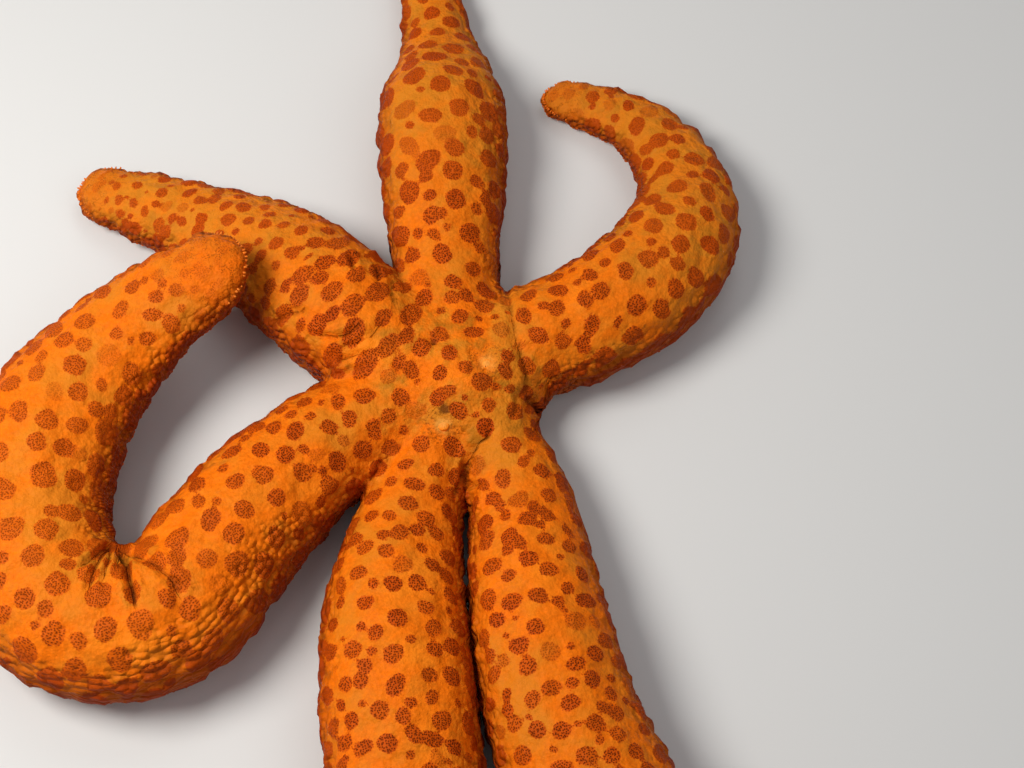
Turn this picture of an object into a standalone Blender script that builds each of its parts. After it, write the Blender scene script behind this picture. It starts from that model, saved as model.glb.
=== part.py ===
"""A six-armed sea star at life size, resting on the flat soles of its arms.

Units are metres and +Z is up. The floor is z = 0, the mouth faces down at DISC_CENTRE, and the
origin is the middle of the whole animal's outline on the floor. Each arm is a loft of D-shaped
sections carried along a route of arcs, and is divided into a few lengths.
"""
import math

import bmesh
import bpy
from mathutils import Matrix, Vector

MM = 0.001

# ---- driving dimensions -------------------------------------------------------------------
DISC_CENTRE = (0.0107, 0.0193)  # where the mouth lies, from the middle of the outline
DISC_RADIUS = 19 * MM           # the disc is parted from the arms at this radius
DISC_HEIGHT = 16 * MM           # top of the disc above the floor
GAP = 0.3 * MM                  # clear space between pieces that touch
RING_SPACING = 5.5 * MM         # distance between an arm's sections

# A section's shape, as shares of the arm's width at that place.
AXIS_HEIGHT = 0.36              # height of the widest level above the sole
ARCH_UP = 0.44                  # from the widest level to the top
ARCH_DOWN = 0.45                # from the widest level down, before the sole cuts it flat
ARCH_STEPS = 13                 # facets round the arch, from one edge of the sole to the other
GROOVE_HALF_WIDTH = 0.07        # the groove under each arm that holds the tube feet
GROOVE_DEPTH = 0.10
TIP_FLATTENING = 0.22           # an arm's end is this much lower for its width than its root
TIP_ROUNDING = 6 * MM           # length over which an arm's end is rounded off
TIP_STEPS = 3
TIP_LAST_ANGLE = 78             # degrees of the quarter circle that the rounding runs through
ARM_START = 8                   # in mm from the centre, where an arm starts before it is trimmed
SHARP_ANGLE = 50                # degrees between faces that are shaded as an edge

DOME_RADIUS = 15 * MM           # the disc's dome between the arms, before it is trimmed round
DOME_RISE = 12 * MM
ROOT_DEPTH = 0.12               # how far the arms' roots reach below the floor before trimming
ROOT_START = 1                  # where in mm from the centre the roots and their grooves start
ROOT_OVERRUN = 7                # how far in mm they run past the disc's edge
SOLE_OVERCUT = 2 * MM           # how far cutters reach below the floor
TURNED_STEPS = 20

MOUTH_RADIUS = 4.2 * MM
MOUTH_OPENING = 1.2 * MM
MOUTH_DEPTH = 4.0 * MM          # how far the recess round the mouth reaches up into the disc
MOUTH_RIM = 1.0 * MM            # thickness of the mouth's membrane at its rim and at its lip
MOUTH_LIP = 1.8 * MM
MADREPORITE_RADIUS = 1.7 * MM
MADREPORITE_RISE = 0.5 * MM     # how far a sieve plate stands out of the disc
MADREPORITE_DEPTH = 1.5 * MM    # how far its pocket reaches into the disc
MADREPORITES = ((4.9, 1.4), (-2.7, -9.7))   # places on the disc in mm from its centre

# Bearings of the creases where neighbouring arms meet, and how far from the centre they run.
CREASES = {
    ("arm_2", "arm_1"): 68,
    ("arm_1", "arm_6"): 119,
    ("arm_6", "arm_5"): 178,
    ("arm_5", "arm_3"): 229,
    ("arm_3", "arm_4"): 273,
    ("arm_4", "arm_2"): 345,
}
CREASE_REACH = 28 * MM
CREASE_WALL_THICKNESS = 40 * MM

# Each arm, from the mouth outwards. heading is its bearing at the mouth in degrees, anticlockwise
# from +X. bends are arcs: (length in mm, turn in degrees). widths and lifts are (distance in mm,
# size in mm). joints are the distances at which one length of the arm meets the next.
ARMS = {
    "arm_1": {
        "heading": 100,
        "bends": ((25, -7), (35, -2), (50, 16)),
        "widths": ((0, 18.5), (22, 19), (45, 23.5), (60, 24), (70, 18.5), (77, 14), (110, 9)),
        "joints": (46, 75),
    },
    "arm_2": {
        "heading": 43,
        "bends": ((22, -22), (22, 28), (20, 48), (20, 48), (18, 30)),
        "widths": ((0, 17), (25, 22), (50, 22.5), (70, 15.5), (88, 10.5), (102, 8)),
        "joints": (40, 60, 80),
    },
    "arm_3": {
        "heading": 245,
        "bends": ((20, 9), (30, 19), (30, 6.5), (70, -16)),
        "widths": ((0, 15), (22, 17.4), (42, 24), (60, 26.5), (80, 25.5), (100, 25), (130, 18),
                   (150, 10)),
        "joints": (50, 84, 118),
    },
    "arm_4": {
        "heading": 300,
        "bends": ((14, 0), (18, -26), (30, 11), (25, 18), (61, 16)),
        "widths": ((0, 15.5), (22, 18), (42, 23), (60, 25.5), (80, 27), (98, 26), (128, 18),
                   (148, 10)),
        "joints": (50, 84, 118),
    },
    "arm_5": {
        "heading": 192,
        "bends": ((30, 31), (30, 18), (30, -112), (20, -46), (25, -33), (33, -38)),
        "widths": ((0, 16.5), (22, 20.5), (40, 24), (62, 26), (80, 27), (97, 29), (115, 28.5),
                   (140, 22), (160, 16), (168, 13)),
        "joints": (44, 75, 104, 134),
        "lifts": ((110, 0), (140, 6), (168, 19)),
    },
    "arm_6": {
        "heading": 155,
        "bends": ((30, -21), (25, 18), (32, 10)),
        "widths": ((0, 16), (22, 24), (40, 23.5), (60, 17), (87, 10)),
        "joints": (42, 64),
    },
}

LENGTH_NAMES = {3: ("inner", "outer", "tip"),
                4: ("inner", "middle", "outer", "tip"),
                5: ("inner", "elbow", "middle", "outer", "tip")}

COLOURS = {
    "disc": (0.75, 0.16, 0.02),
    "arm": (0.73, 0.14, 0.015),
    "tip": (0.55, 0.08, 0.01),
    "madreporite": (0.80, 0.42, 0.14),
    "mouth": (0.45, 0.14, 0.05),
}
SKIN_ROUGHNESS = 0.55


# ---- scene and materials ------------------------------------------------------------------
def clear_scene():
    for obj in list(bpy.data.objects):
        bpy.data.objects.remove(obj, do_unlink=True)


def new_collection(name):
    collection = bpy.data.collections.new(name)
    bpy.context.scene.collection.children.link(collection)
    return collection


def skin_material(name, colour):
    """A matt, fleshy Principled material in one colour."""
    material = bpy.data.materials.new(name)
    material.use_nodes = True
    shader = material.node_tree.nodes["Principled BSDF"]
    shader.inputs["Base Color"].default_value = (*colour, 1.0)
    shader.inputs["Roughness"].default_value = SKIN_ROUGHNESS
    shader.inputs["Metallic"].default_value = 0.0
    return material


# ---- the course and the sections of an arm --------------------------------------------------
def smooth_value(stations, distance):
    """A smooth curve through (distance, value) stations, held level past its ends."""
    places = [place for place, _ in stations]
    values = [value for _, value in stations]
    if distance <= places[0]:
        return values[0]
    if distance >= places[-1]:
        return values[-1]
    last = len(places) - 1
    index = max(i for i in range(last) if places[i] <= distance)

    def slope(i):
        before, after = max(i - 1, 0), min(i + 1, last)
        return (values[after] - values[before]) / (places[after] - places[before])

    span = places[index + 1] - places[index]
    t = (distance - places[index]) / span
    return ((2 * t**3 - 3 * t**2 + 1) * values[index]
            + (t**3 - 2 * t**2 + t) * span * slope(index)
            + (3 * t**2 - 2 * t**3) * values[index + 1]
            + (t**3 - t**2) * span * slope(index + 1))


def arm_length(arm):
    return sum(length for length, _ in arm["bends"])


def route_point(arm, distance):
    """Place (x, y) in metres and bearing in radians at a distance in mm along the arm's arcs."""
    x, y = DISC_CENTRE
    bearing = math.radians(arm["heading"])
    left = distance
    for length, turn in arm["bends"]:
        run = min(left, length)
        turned = math.radians(turn) * run / length
        chord = run
        if abs(turned) > 1e-6:
            chord = run * math.sin(turned / 2) / (turned / 2)
        x += chord * math.cos(bearing + turned / 2) * MM
        y += chord * math.sin(bearing + turned / 2) * MM
        bearing += turned
        left -= run
        if left <= 0:
            break
    return x, y, bearing


def arch(width, flattening):
    """The arched outline of a section, from the sole's right edge over the top to its left."""
    start = -math.asin(AXIS_HEIGHT / ARCH_DOWN)
    sweep = math.pi - 2 * start
    points = []
    for step in range(ARCH_STEPS + 1):
        angle = start + sweep * step / ARCH_STEPS
        rise = ARCH_UP if math.sin(angle) > 0 else ARCH_DOWN
        up = max(0.0, AXIS_HEIGHT + rise * math.sin(angle))
        points.append((0.5 * width * math.cos(angle), up * width * flattening))
    return points


def grooved_section(width, flattening):
    """The arch closed by a flat sole with the tube feet's groove along its middle."""
    lip = GROOVE_HALF_WIDTH * width
    groove = [(-lip, 0.0), (0.0, GROOVE_DEPTH * width * flattening), (lip, 0.0)]
    return arch(width, flattening) + groove


def root_section(width, flattening):
    """The arch carried below the floor, for the roots that the disc is made of.

    The depth goes with the width, so that no two roots have their soles in one plane.
    """
    outline = arch(width, flattening)
    edge = outline[0][0]
    depth = ROOT_DEPTH * width
    return outline + [(-edge, -depth), (edge, -depth)]


def groove_section(width, flattening):
    """A triangle that fills the groove and is carried below the floor."""
    depth = GROOVE_DEPTH * width * flattening
    half = GROOVE_HALF_WIDTH * width * (1 + SOLE_OVERCUT / depth)
    return [(half, -SOLE_OVERCUT), (0.0, depth), (-half, -SOLE_OVERCUT)]


def arm_ring(arm, distance, section, shrink=1.0):
    """One section of an arm, upright across its route and shrunk round its middle."""
    x, y, bearing = route_point(arm, distance)
    width = smooth_value(arm["widths"], distance) * MM
    lift = smooth_value(arm.get("lifts", ((0, 0), (1, 0))), distance) * MM
    flattening = 1 - TIP_FLATTENING * (distance / arm_length(arm)) ** 2
    middle = AXIS_HEIGHT * width * flattening
    ring = []
    for across, up in section(width, flattening):
        across *= shrink
        up = middle + (up - middle) * shrink
        ring.append(Vector((x + math.sin(bearing) * across,
                            y - math.cos(bearing) * across,
                            lift + up)))
    return ring


def add_object(name, mesh_builder, collection, material=None):
    """Make an object of a finished bmesh, shaded smooth apart from its edges."""
    mesh = bpy.data.meshes.new(name)
    mesh_builder.to_mesh(mesh)
    mesh_builder.free()
    mesh.shade_smooth()
    mesh.set_sharp_from_angle(angle=math.radians(SHARP_ANGLE))
    if material:
        mesh.materials.append(material)
    obj = bpy.data.objects.new(name, mesh)
    collection.objects.link(obj)
    return obj


def loft(name, rings, collection, material=None):
    """A closed solid through rings of like point counts, with flat ends."""
    mesh_builder = bmesh.new()
    loops = [[mesh_builder.verts.new(point) for point in ring] for ring in rings]
    for here, there in zip(loops, loops[1:]):
        for i in range(len(here)):
            j = (i + 1) % len(here)
            mesh_builder.faces.new((here[i], here[j], there[j], there[i]))
    mesh_builder.faces.new(list(reversed(loops[0])))
    mesh_builder.faces.new(loops[-1])
    bmesh.ops.recalc_face_normals(mesh_builder, faces=mesh_builder.faces)
    return add_object(name, mesh_builder, collection, material)


def distances(start, end):
    """Evenly spaced distances in mm from start to end, about RING_SPACING apart."""
    count = max(1, round((end - start) * MM / RING_SPACING))
    return [start + (end - start) * i / count for i in range(count + 1)]


def tip_rings(arm, start):
    """Rings from start to the arm's end, the last of them shrinking as a quarter circle."""
    end = arm_length(arm)
    rounding = TIP_ROUNDING / MM
    rings = [arm_ring(arm, d, grooved_section) for d in distances(start, end - rounding)]
    for step in range(1, TIP_STEPS + 1):
        angle = math.radians(TIP_LAST_ANGLE) * step / TIP_STEPS
        distance = end - rounding + rounding * math.sin(angle)
        rings.append(arm_ring(arm, distance, grooved_section, math.cos(angle)))
    return rings


# ---- cutting ------------------------------------------------------------------------------
def boolean(target, tool, operation):
    """Add an exact Boolean modifier to target."""
    modifier = target.modifiers.new(operation.lower(), "BOOLEAN")
    modifier.operation = operation
    modifier.solver = "EXACT"
    modifier.object = tool


def add_cutter(name, mesh_builder, cutters):
    cutter = add_object(name, mesh_builder, cutters)
    mark_as_cutter(cutter)
    return cutter


def mark_as_cutter(obj):
    obj.hide_render = True
    obj.display_type = "WIRE"


def upright_cylinder(name, centre, radius, bottom, top, cutters):
    """A cutter with a side about every 2 mm round it."""
    sides = max(16, 4 * round(2 * math.pi * radius / (8 * MM)))
    mesh_builder = bmesh.new()
    place = Matrix.Translation((*centre, (bottom + top) / 2))
    bmesh.ops.create_cone(mesh_builder, cap_ends=True, segments=sides, radius1=radius,
                          radius2=radius, depth=top - bottom, matrix=place)
    return add_cutter(name, mesh_builder, cutters)


def crease_wall(name, bearing, side, cutters):
    """A block that starts half a gap before a crease and covers what lies past it.

    side is +1 to cover the crease's left and -1 to cover its right.
    """
    shift = side * (CREASE_WALL_THICKNESS - GAP) / 2
    size = (CREASE_REACH, CREASE_WALL_THICKNESS, 4 * DISC_HEIGHT, 1)
    place = (Matrix.Translation((*DISC_CENTRE, 0))
             @ Matrix.Rotation(math.radians(bearing), 4, "Z")
             @ Matrix.Translation((CREASE_REACH / 2, shift, 0))
             @ Matrix.Diagonal(size))
    mesh_builder = bmesh.new()
    bmesh.ops.create_cube(mesh_builder, size=1.0, matrix=place)
    return add_cutter(name, mesh_builder, cutters)


# ---- the sub-parts ------------------------------------------------------------------------
def build_arm(name, arm, materials, parts, cutters, disc_hole):
    """One arm as a row of lengths, the first of them trimmed to the disc and the creases."""
    stops = [0, *arm["joints"], arm_length(arm)]
    half_gap = GAP / MM / 2
    names = LENGTH_NAMES[len(stops) - 1]
    for index, part in enumerate(names):
        start = stops[index] + half_gap
        end = stops[index + 1] - half_gap
        if part == "inner":
            rings = [arm_ring(arm, d, grooved_section) for d in distances(ARM_START, end)]
        elif part == "tip":
            rings = tip_rings(arm, start)
        else:
            rings = [arm_ring(arm, d, grooved_section) for d in distances(start, end)]
        material = materials["tip" if part == "tip" else "arm"]
        length = loft(f"{name}_{part}", rings, parts, material)
        if part == "inner":
            boolean(length, disc_hole, "DIFFERENCE")
            for (right, left), bearing in CREASES.items():
                if name == right:
                    wall = crease_wall(f"crease_beyond_{name}", bearing, 1, cutters)
                    boolean(length, wall, "DIFFERENCE")
                if name == left:
                    wall = crease_wall(f"crease_before_{name}", bearing, -1, cutters)
                    boolean(length, wall, "DIFFERENCE")


def dome_height(across):
    """Height of the disc's dome at a distance from its centre."""
    drop = math.sqrt(1 - (across / DOME_RADIUS) ** 2)
    return DISC_HEIGHT - DOME_RISE * (1 - drop)


def build_disc(material, parts, cutters):
    """A low dome joined to the roots of the arms, trimmed round, with mouth and grooves."""
    mesh_builder = bmesh.new()
    place = (Matrix.Translation((*DISC_CENTRE, DISC_HEIGHT - DOME_RISE))
             @ Matrix.Diagonal((DOME_RADIUS, DOME_RADIUS, DOME_RISE, 1)))
    bmesh.ops.create_uvsphere(mesh_builder, u_segments=36, v_segments=18, radius=1.0,
                              matrix=place)
    disc = add_object("disc", mesh_builder, parts, material)

    root_run = distances(ROOT_START, DISC_RADIUS / MM + ROOT_OVERRUN)
    for name, arm in ARMS.items():
        root = loft(f"{name}_root", [arm_ring(arm, d, root_section) for d in root_run], cutters)
        mark_as_cutter(root)
        boolean(disc, root, "UNION")
    trim = upright_cylinder("disc_trim", DISC_CENTRE, DISC_RADIUS, 0, 2 * DISC_HEIGHT, cutters)
    boolean(disc, trim, "INTERSECT")
    for name, arm in ARMS.items():
        groove = loft(f"{name}_groove", [arm_ring(arm, d, groove_section) for d in root_run],
                      cutters)
        mark_as_cutter(groove)
        boolean(disc, groove, "DIFFERENCE")
    recess = upright_cylinder("mouth_recess", DISC_CENTRE, MOUTH_RADIUS, -SOLE_OVERCUT,
                              MOUTH_DEPTH, cutters)
    boolean(disc, recess, "DIFFERENCE")
    return disc


def turned(name, profile, centre, parts, material):
    """A profile of (radius, height) points turned once round an upright axis at centre.

    A profile that starts on the axis is left open there; any other closes on its first point.
    """
    mesh = bpy.data.meshes.new(name)
    count = len(profile)
    edges = [(i, (i + 1) % count) for i in range(count)]
    if profile[0][0] == 0:
        edges.pop()
    mesh.from_pydata([(radius, 0.0, height) for radius, height in profile], edges, [])
    mesh.materials.append(material)
    obj = bpy.data.objects.new(name, mesh)
    obj.location = (*centre, 0.0)
    parts.objects.link(obj)
    screw = obj.modifiers.new("turn", "SCREW")
    screw.steps = TURNED_STEPS
    screw.render_steps = TURNED_STEPS
    screw.use_merge_vertices = True
    screw.merge_threshold = 0.01 * MM
    screw.use_smooth_shade = True
    return obj


def build_madreporite(name, place, disc, material, parts, cutters):
    """A sieve plate: a low button in a pocket of the disc."""
    centre = (DISC_CENTRE[0] + place[0] * MM, DISC_CENTRE[1] + place[1] * MM)
    surface = dome_height(math.hypot(*place) * MM)
    floor = surface - MADREPORITE_DEPTH
    pocket = upright_cylinder(f"{name}_pocket", centre, MADREPORITE_RADIUS + GAP, floor,
                              2 * DISC_HEIGHT, cutters)
    boolean(disc, pocket, "DIFFERENCE")
    crown = surface + MADREPORITE_RISE
    shoulder = crown - 0.25 * MADREPORITE_RISE
    profile = [(0, crown), (0.55 * MADREPORITE_RADIUS, shoulder), (MADREPORITE_RADIUS, surface),
               (MADREPORITE_RADIUS, floor + GAP), (0, floor + GAP)]
    turned(name, profile, centre, parts, material)


def build_mouth(material, parts):
    """The membrane round the mouth: a shallow funnel with a small opening, inside its recess."""
    rim = MOUTH_RADIUS - GAP
    roof = MOUTH_DEPTH - GAP
    profile = [(rim, roof), (rim, roof - MOUTH_RIM), (MOUTH_OPENING, roof - MOUTH_LIP),
               (MOUTH_OPENING, roof)]
    turned("mouth", profile, DISC_CENTRE, parts, material)


def main():
    clear_scene()
    parts = new_collection("sea_star")
    cutters = new_collection("cutters")
    materials = {name: skin_material(name, colour) for name, colour in COLOURS.items()}
    disc_hole = upright_cylinder("disc_hole", DISC_CENTRE, DISC_RADIUS + GAP, -SOLE_OVERCUT,
                                 2 * DISC_HEIGHT, cutters)
    disc = build_disc(materials["disc"], parts, cutters)
    for index, place in enumerate(MADREPORITES, 1):
        build_madreporite(f"madreporite_{index}", place, disc, materials["madreporite"], parts,
                          cutters)
    build_mouth(materials["mouth"], parts)
    for name, arm in ARMS.items():
        build_arm(name, arm, materials, parts, cutters, disc_hole)


main()
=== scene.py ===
import functools
import math

import bpy
import numpy as np
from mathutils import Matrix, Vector


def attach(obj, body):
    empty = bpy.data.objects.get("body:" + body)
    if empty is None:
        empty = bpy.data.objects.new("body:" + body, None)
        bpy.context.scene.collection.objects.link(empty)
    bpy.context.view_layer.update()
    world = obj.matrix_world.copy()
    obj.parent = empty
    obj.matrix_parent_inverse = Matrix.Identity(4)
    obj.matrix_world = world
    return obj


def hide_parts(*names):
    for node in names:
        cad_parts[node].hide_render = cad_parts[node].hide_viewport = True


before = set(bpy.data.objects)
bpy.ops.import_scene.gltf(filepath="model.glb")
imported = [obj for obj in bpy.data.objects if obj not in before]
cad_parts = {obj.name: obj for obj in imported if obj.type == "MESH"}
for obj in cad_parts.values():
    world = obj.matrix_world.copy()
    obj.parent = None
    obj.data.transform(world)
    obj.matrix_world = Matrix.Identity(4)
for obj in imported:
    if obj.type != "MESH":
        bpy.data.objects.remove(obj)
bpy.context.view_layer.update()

bl_info = {
    "name": "Orange sea star",
    "version": (1, 0, 0),
    "blender": (4, 5, 0),
    "location": "3D View > Sidebar > Sea star",
    "description": "Dresses a six-armed sea star in skin, granules, spines and tube feet",
    "category": "Object",
}

MM = 0.001
BODY = "root"

# ---- the body's sizes, as its solids have them -------------------------------------------------
# Lengths in the geometry below are in mm from the disc's centre on the floor.
DISC_CENTRE = (10.7, 19.3)
AXIS_HEIGHT = 0.36
ARCH_UP = 0.44
ARCH_DOWN = 0.45
TIP_FLATTENING = 0.22
TIP_ROUNDING = 6.0
DOME_RADIUS = 15.0
DOME_HEIGHT = 16.0
DOME_RISE = 12.0
MADREPORITES = ((4.9, 1.4), (-2.7, -9.7))
ANUS = (-4.6, 5.6)

ARMS = {
    "arm_1": {
        "heading": 100,
        "bends": ((25, -7), (35, -2), (50, 16)),
        "widths": ((0, 18.5), (22, 19), (45, 23.5), (60, 24), (70, 18.5), (77, 14), (110, 9)),
        "creases": (68, 119),
        "nodes": ("inner", "outer", "tip"),
    },
    "arm_2": {
        "heading": 43,
        "bends": ((22, -22), (22, 28), (20, 48), (20, 48), (18, 30)),
        "widths": ((0, 17), (25, 22), (50, 22.5), (70, 15.5), (88, 10.5), (102, 8)),
        "creases": (345, 68),
        "nodes": ("inner", "middle", "outer", "tip"),
    },
    "arm_3": {
        "heading": 245,
        "bends": ((20, 9), (30, 19), (30, 6.5), (70, -16)),
        "widths": ((0, 15), (22, 17.4), (42, 24), (60, 26.5), (80, 25.5), (100, 25), (130, 18),
                   (150, 10)),
        "creases": (229, 273),
        "nodes": ("inner", "middle", "outer", "tip"),
    },
    "arm_4": {
        "heading": 300,
        "bends": ((14, 0), (18, -26), (30, 11), (25, 18), (61, 16)),
        "widths": ((0, 15.5), (22, 18), (42, 23), (60, 25.5), (80, 27), (98, 26), (128, 18),
                   (148, 10)),
        "creases": (273, 345),
        "nodes": ("inner", "middle", "outer", "tip"),
    },
    "arm_5": {
        "heading": 192,
        "bends": ((30, 31), (30, 18), (30, -112), (20, -46), (25, -33), (33, -38)),
        "widths": ((0, 16.5), (22, 20.5), (40, 24), (62, 26), (80, 27), (97, 29), (115, 28.5),
                   (140, 22), (160, 16), (168, 13)),
        "lifts": ((110, 0), (140, 6), (168, 19)),
        "creases": (178, 229),
        "nodes": ("inner", "elbow", "middle", "outer", "tip"),
    },
    "arm_6": {
        "heading": 155,
        "bends": ((30, -21), (25, 18), (32, 10)),
        "widths": ((0, 16), (22, 24), (40, 23.5), (60, 17), (87, 10)),
        "creases": (119, 178),
        "nodes": ("inner", "outer", "tip"),
    },
}

# ---- how the skin is meshed --------------------------------------------------------------------
SETTLE_LEVELS = 24              # an upright line is searched at this many levels
SETTLE_HALVINGS = 9             # and its crossing then halved down this often
END_ROWS = 11                   # rows that close an arm's end
DISC_ROWS = 28                  # rows from the centre out to where the arms part, on top
UNDER_ROWS = 18                 # and underneath
SOLE_COLUMNS = 10               # of the under rows' half, how many lie on the flat sole
PARTING = 24.0                  # where along an arm's crest it is free of its neighbours
NOTCH_LEVEL = 6.5               # the level at which the notches between arms are found
NOTCH_SWING = 8                 # a notch lies this near to its crease's bearing, in degrees
NOTCH_REACH = (10, 44)
CREASE_CROWDING = 0.5           # how much the rows crowd together toward a notch
ROW_SPACING = 0.78
SKEW_FADE = 16.0
SOLE_HALF_WIDTH = 0.3           # as a share of the arm's width
EDGE_SOFTNESS = 1.6             # rounding of the sole's edge
BLEND = 5.2                     # rounding where arms run into the disc
CREASE_BLENDS = {68: 4.5, 119: 2.8, 178: 2.4, 229: 1.8, 273: 0.9, 345: 1.8}
CREASE_REACH = 0.25             # each crease's own rounding holds this far to its sides, radians
CREASE_START = (8.0, 17.0)      # and sets in here, going out from the centre
DISC_WEIGHT = 0.02              # how much the disc's rounding still counts between the creases
NO_BLEND = 0.4
BLEND_FADE = (20.4, 34.0)       # going out, the rounding dwindles to next to none between these
FIELD_REACH = 62.0
SETTLED = (36.0, 46.0)          # the skin goes from the blended surface to the arm's own here
EDGE_SEARCH = (0.75, 1.4)       # the blended body's edge is sought between these shares of it
EDGE_STEPS = 60
FROM_ABOVE = (22.0, 3.0)        # upright lines run down between these levels for the top
FROM_BELOW = (-1.0, 12.0)       # and up between these for the underside
SKIN_INSET = 0.15
GROOVE_HALF_WIDTH = 0.09        # the groove's sizes are shares of the arm's width
GROOVE_DEPTH = 0.12
GROOVE_END = (0.9, 0.99)        # it runs out between these shares of the arm's length
MOUTH_RADIUS = 4.0
MOUTH_DEPTH = 3.4
CHART_SIDE = 292.0              # the skin's unwrap, mm across the whole square
CHART_GAP = 4.0
CHART_COLUMNS = (("arm_5", "arm_1"), ("arm_3", "arm_2"), ("arm_4", "arm_6"))
RIPPLE_WAVES = 14               # random fields are the mean of this many sine waves
RIPPLE_SPREAD = (0.7, 1.4)      # whose wavelengths differ by about this much
RIPPLE_GAIN = 2.2               # raised by this, so that they fill about -1 to 1


# ---- curves and fields -------------------------------------------------------------------------
def smooth_values(stations, distance):
    """A smooth curve through (distance, value) stations, held level past its ends."""
    places, values = np.array(stations, float).T
    last = len(places) - 1
    index = np.arange(last + 1)
    before, after = np.maximum(index - 1, 0), np.minimum(index + 1, last)
    slopes = (values[after] - values[before]) / (places[after] - places[before])
    d = np.clip(distance, places[0], places[-1])
    i = np.clip(np.searchsorted(places, d, side="right") - 1, 0, last - 1)
    span = places[i + 1] - places[i]
    t = (d - places[i]) / span
    return ((2 * t**3 - 3 * t**2 + 1) * values[i]
            + (t**3 - 2 * t**2 + t) * span * slopes[i]
            + (3 * t**2 - 2 * t**3) * values[i + 1]
            + (t**3 - t**2) * span * slopes[i + 1])


def smooth_step(value, low, high):
    """From 0 at low to 1 at high, level at both: three t squared less two t cubed."""
    t = np.clip((value - low) / (high - low), 0, 1)
    return t * t * (3 - 2 * t)


def bell(value):
    """1 at nought and falling off to both sides: e to the power of minus the value squared."""
    return np.exp(-value**2)


def away_from(points, place=(0, 0)):
    """How far points lie from a place, in plan."""
    return np.hypot(*(points[:, :2] - place).T)


def arm_length(arm):
    """How long an arm's route is, from the centre to its end."""
    return float(sum(length for length, _ in arm["bends"]))


def lift(arm, distance):
    """How high the arm is lifted off the floor."""
    return smooth_values(arm.get("lifts", ((0, 0), (1, 0))), distance)


def route(arm, distance):
    """x, y and bearing at distances along the arm's arcs."""
    distance = np.asarray(distance, float)
    x, y = np.zeros_like(distance), np.zeros_like(distance)
    bearing = np.full_like(distance, math.radians(arm["heading"]))
    done = 0.0
    for length, turn in arm["bends"]:
        run = np.clip(distance - done, 0, length)
        turned = math.radians(turn) * run / length
        chord = run * np.sinc(turned / 2 / math.pi)
        x = x + chord * np.cos(bearing + turned / 2)
        y = y + chord * np.sin(bearing + turned / 2)
        bearing = bearing + turned
        done += length
    return x, y, bearing


def beside(arm, distance, across):
    """Places in plan at distances along the arm's route and across it, left being positive."""
    x, y, bearing = route(arm, distance)
    return np.stack([x - np.sin(bearing) * across, y + np.cos(bearing) * across], -1)


def flattening(arm, distance):
    """How tall the arm is for its width, less and less toward its end."""
    return 1 - TIP_FLATTENING * (distance / arm_length(arm)) ** 2


def on_route(arm, points):
    """Each point's distance along the arm's route, below 0 before its start, and across it."""
    samples = np.arange(0, FIELD_REACH, 0.75)
    x, y, bearing = route(arm, samples)
    apart = (points[:, 0, None] - x) ** 2 + (points[:, 1, None] - y) ** 2
    near = apart.argmin(1)
    dx, dy = points[:, 0] - x[near], points[:, 1] - y[near]
    ahead = dx * np.cos(bearing[near]) + dy * np.sin(bearing[near])
    across = -dx * np.sin(bearing[near]) + dy * np.cos(bearing[near])
    return samples[near] + ahead, across


def ellipsoid_field(offsets, radii):
    """About how far points lie outside an ellipsoid, from offsets from its centre."""
    scaled = offsets / radii
    k0 = np.linalg.norm(scaled, axis=1)
    k1 = np.linalg.norm(scaled / radii, axis=1)
    return k0 * (k0 - 1) / np.maximum(k1, 1e-6)


def arm_field(arm, points):
    """About how far points lie outside the arm's arched tube, its sole not yet cut."""
    distance, across = on_route(arm, points)
    behind, distance = np.minimum(distance, 0), np.maximum(distance, 0)
    width = smooth_values(arm["widths"], distance)
    tall = width * flattening(arm, distance)
    over = points[:, 2] - AXIS_HEIGHT * tall
    rise = np.where(over > 0, ARCH_UP, ARCH_DOWN) * tall
    return ellipsoid_field(np.stack([across, behind, over], 1),
                           np.stack([width / 2, width / 2, rise], 1))


def dome_field(points):
    """About how far points lie outside the dome over the disc."""
    offsets = points - np.array([0, 0, DOME_HEIGHT - DOME_RISE])
    return ellipsoid_field(offsets, np.array([DOME_RADIUS, DOME_RADIUS, DOME_RISE]))


def body_field(points):
    """About how far points lie outside the body: arms and dome blended, cut flat at the floor."""
    fields = [arm_field(arm, points) for arm in ARMS.values()] + [dome_field(points)]
    first, second = np.sort(np.stack(fields), axis=0)[:2]
    blend = blend_width(points)
    joined = first - np.maximum(blend - (second - first), 0) ** 2 / (4 * blend)
    return soft_maximum(joined, -points[:, 2])


def blend_width(points):
    """Rounding between arms: full on the disc, each crease's own beside it, next to none far out."""
    away, bearing = away_from(points), np.arctan2(points[:, 1], points[:, 0])
    weights = np.full(len(points), DISC_WEIGHT)
    total = weights * BLEND
    for crease, own in CREASE_BLENDS.items():
        off = np.angle(np.exp(1j * (bearing - math.radians(crease))))
        weight = bell(off / CREASE_REACH)
        total, weights = total + weight * own, weights + weight
    inner = 1 - smooth_step(away, *CREASE_START)
    blend = BLEND * inner + total / weights * (1 - inner)
    return NO_BLEND + (blend - NO_BLEND) * (1 - smooth_step(away, *BLEND_FADE))


def soft_maximum(a, b):
    """The greater of two values, rounded over where they are close."""
    k = EDGE_SOFTNESS
    return np.maximum(a, b) + np.maximum(k - np.abs(a - b), 0) ** 2 / (4 * k)


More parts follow.
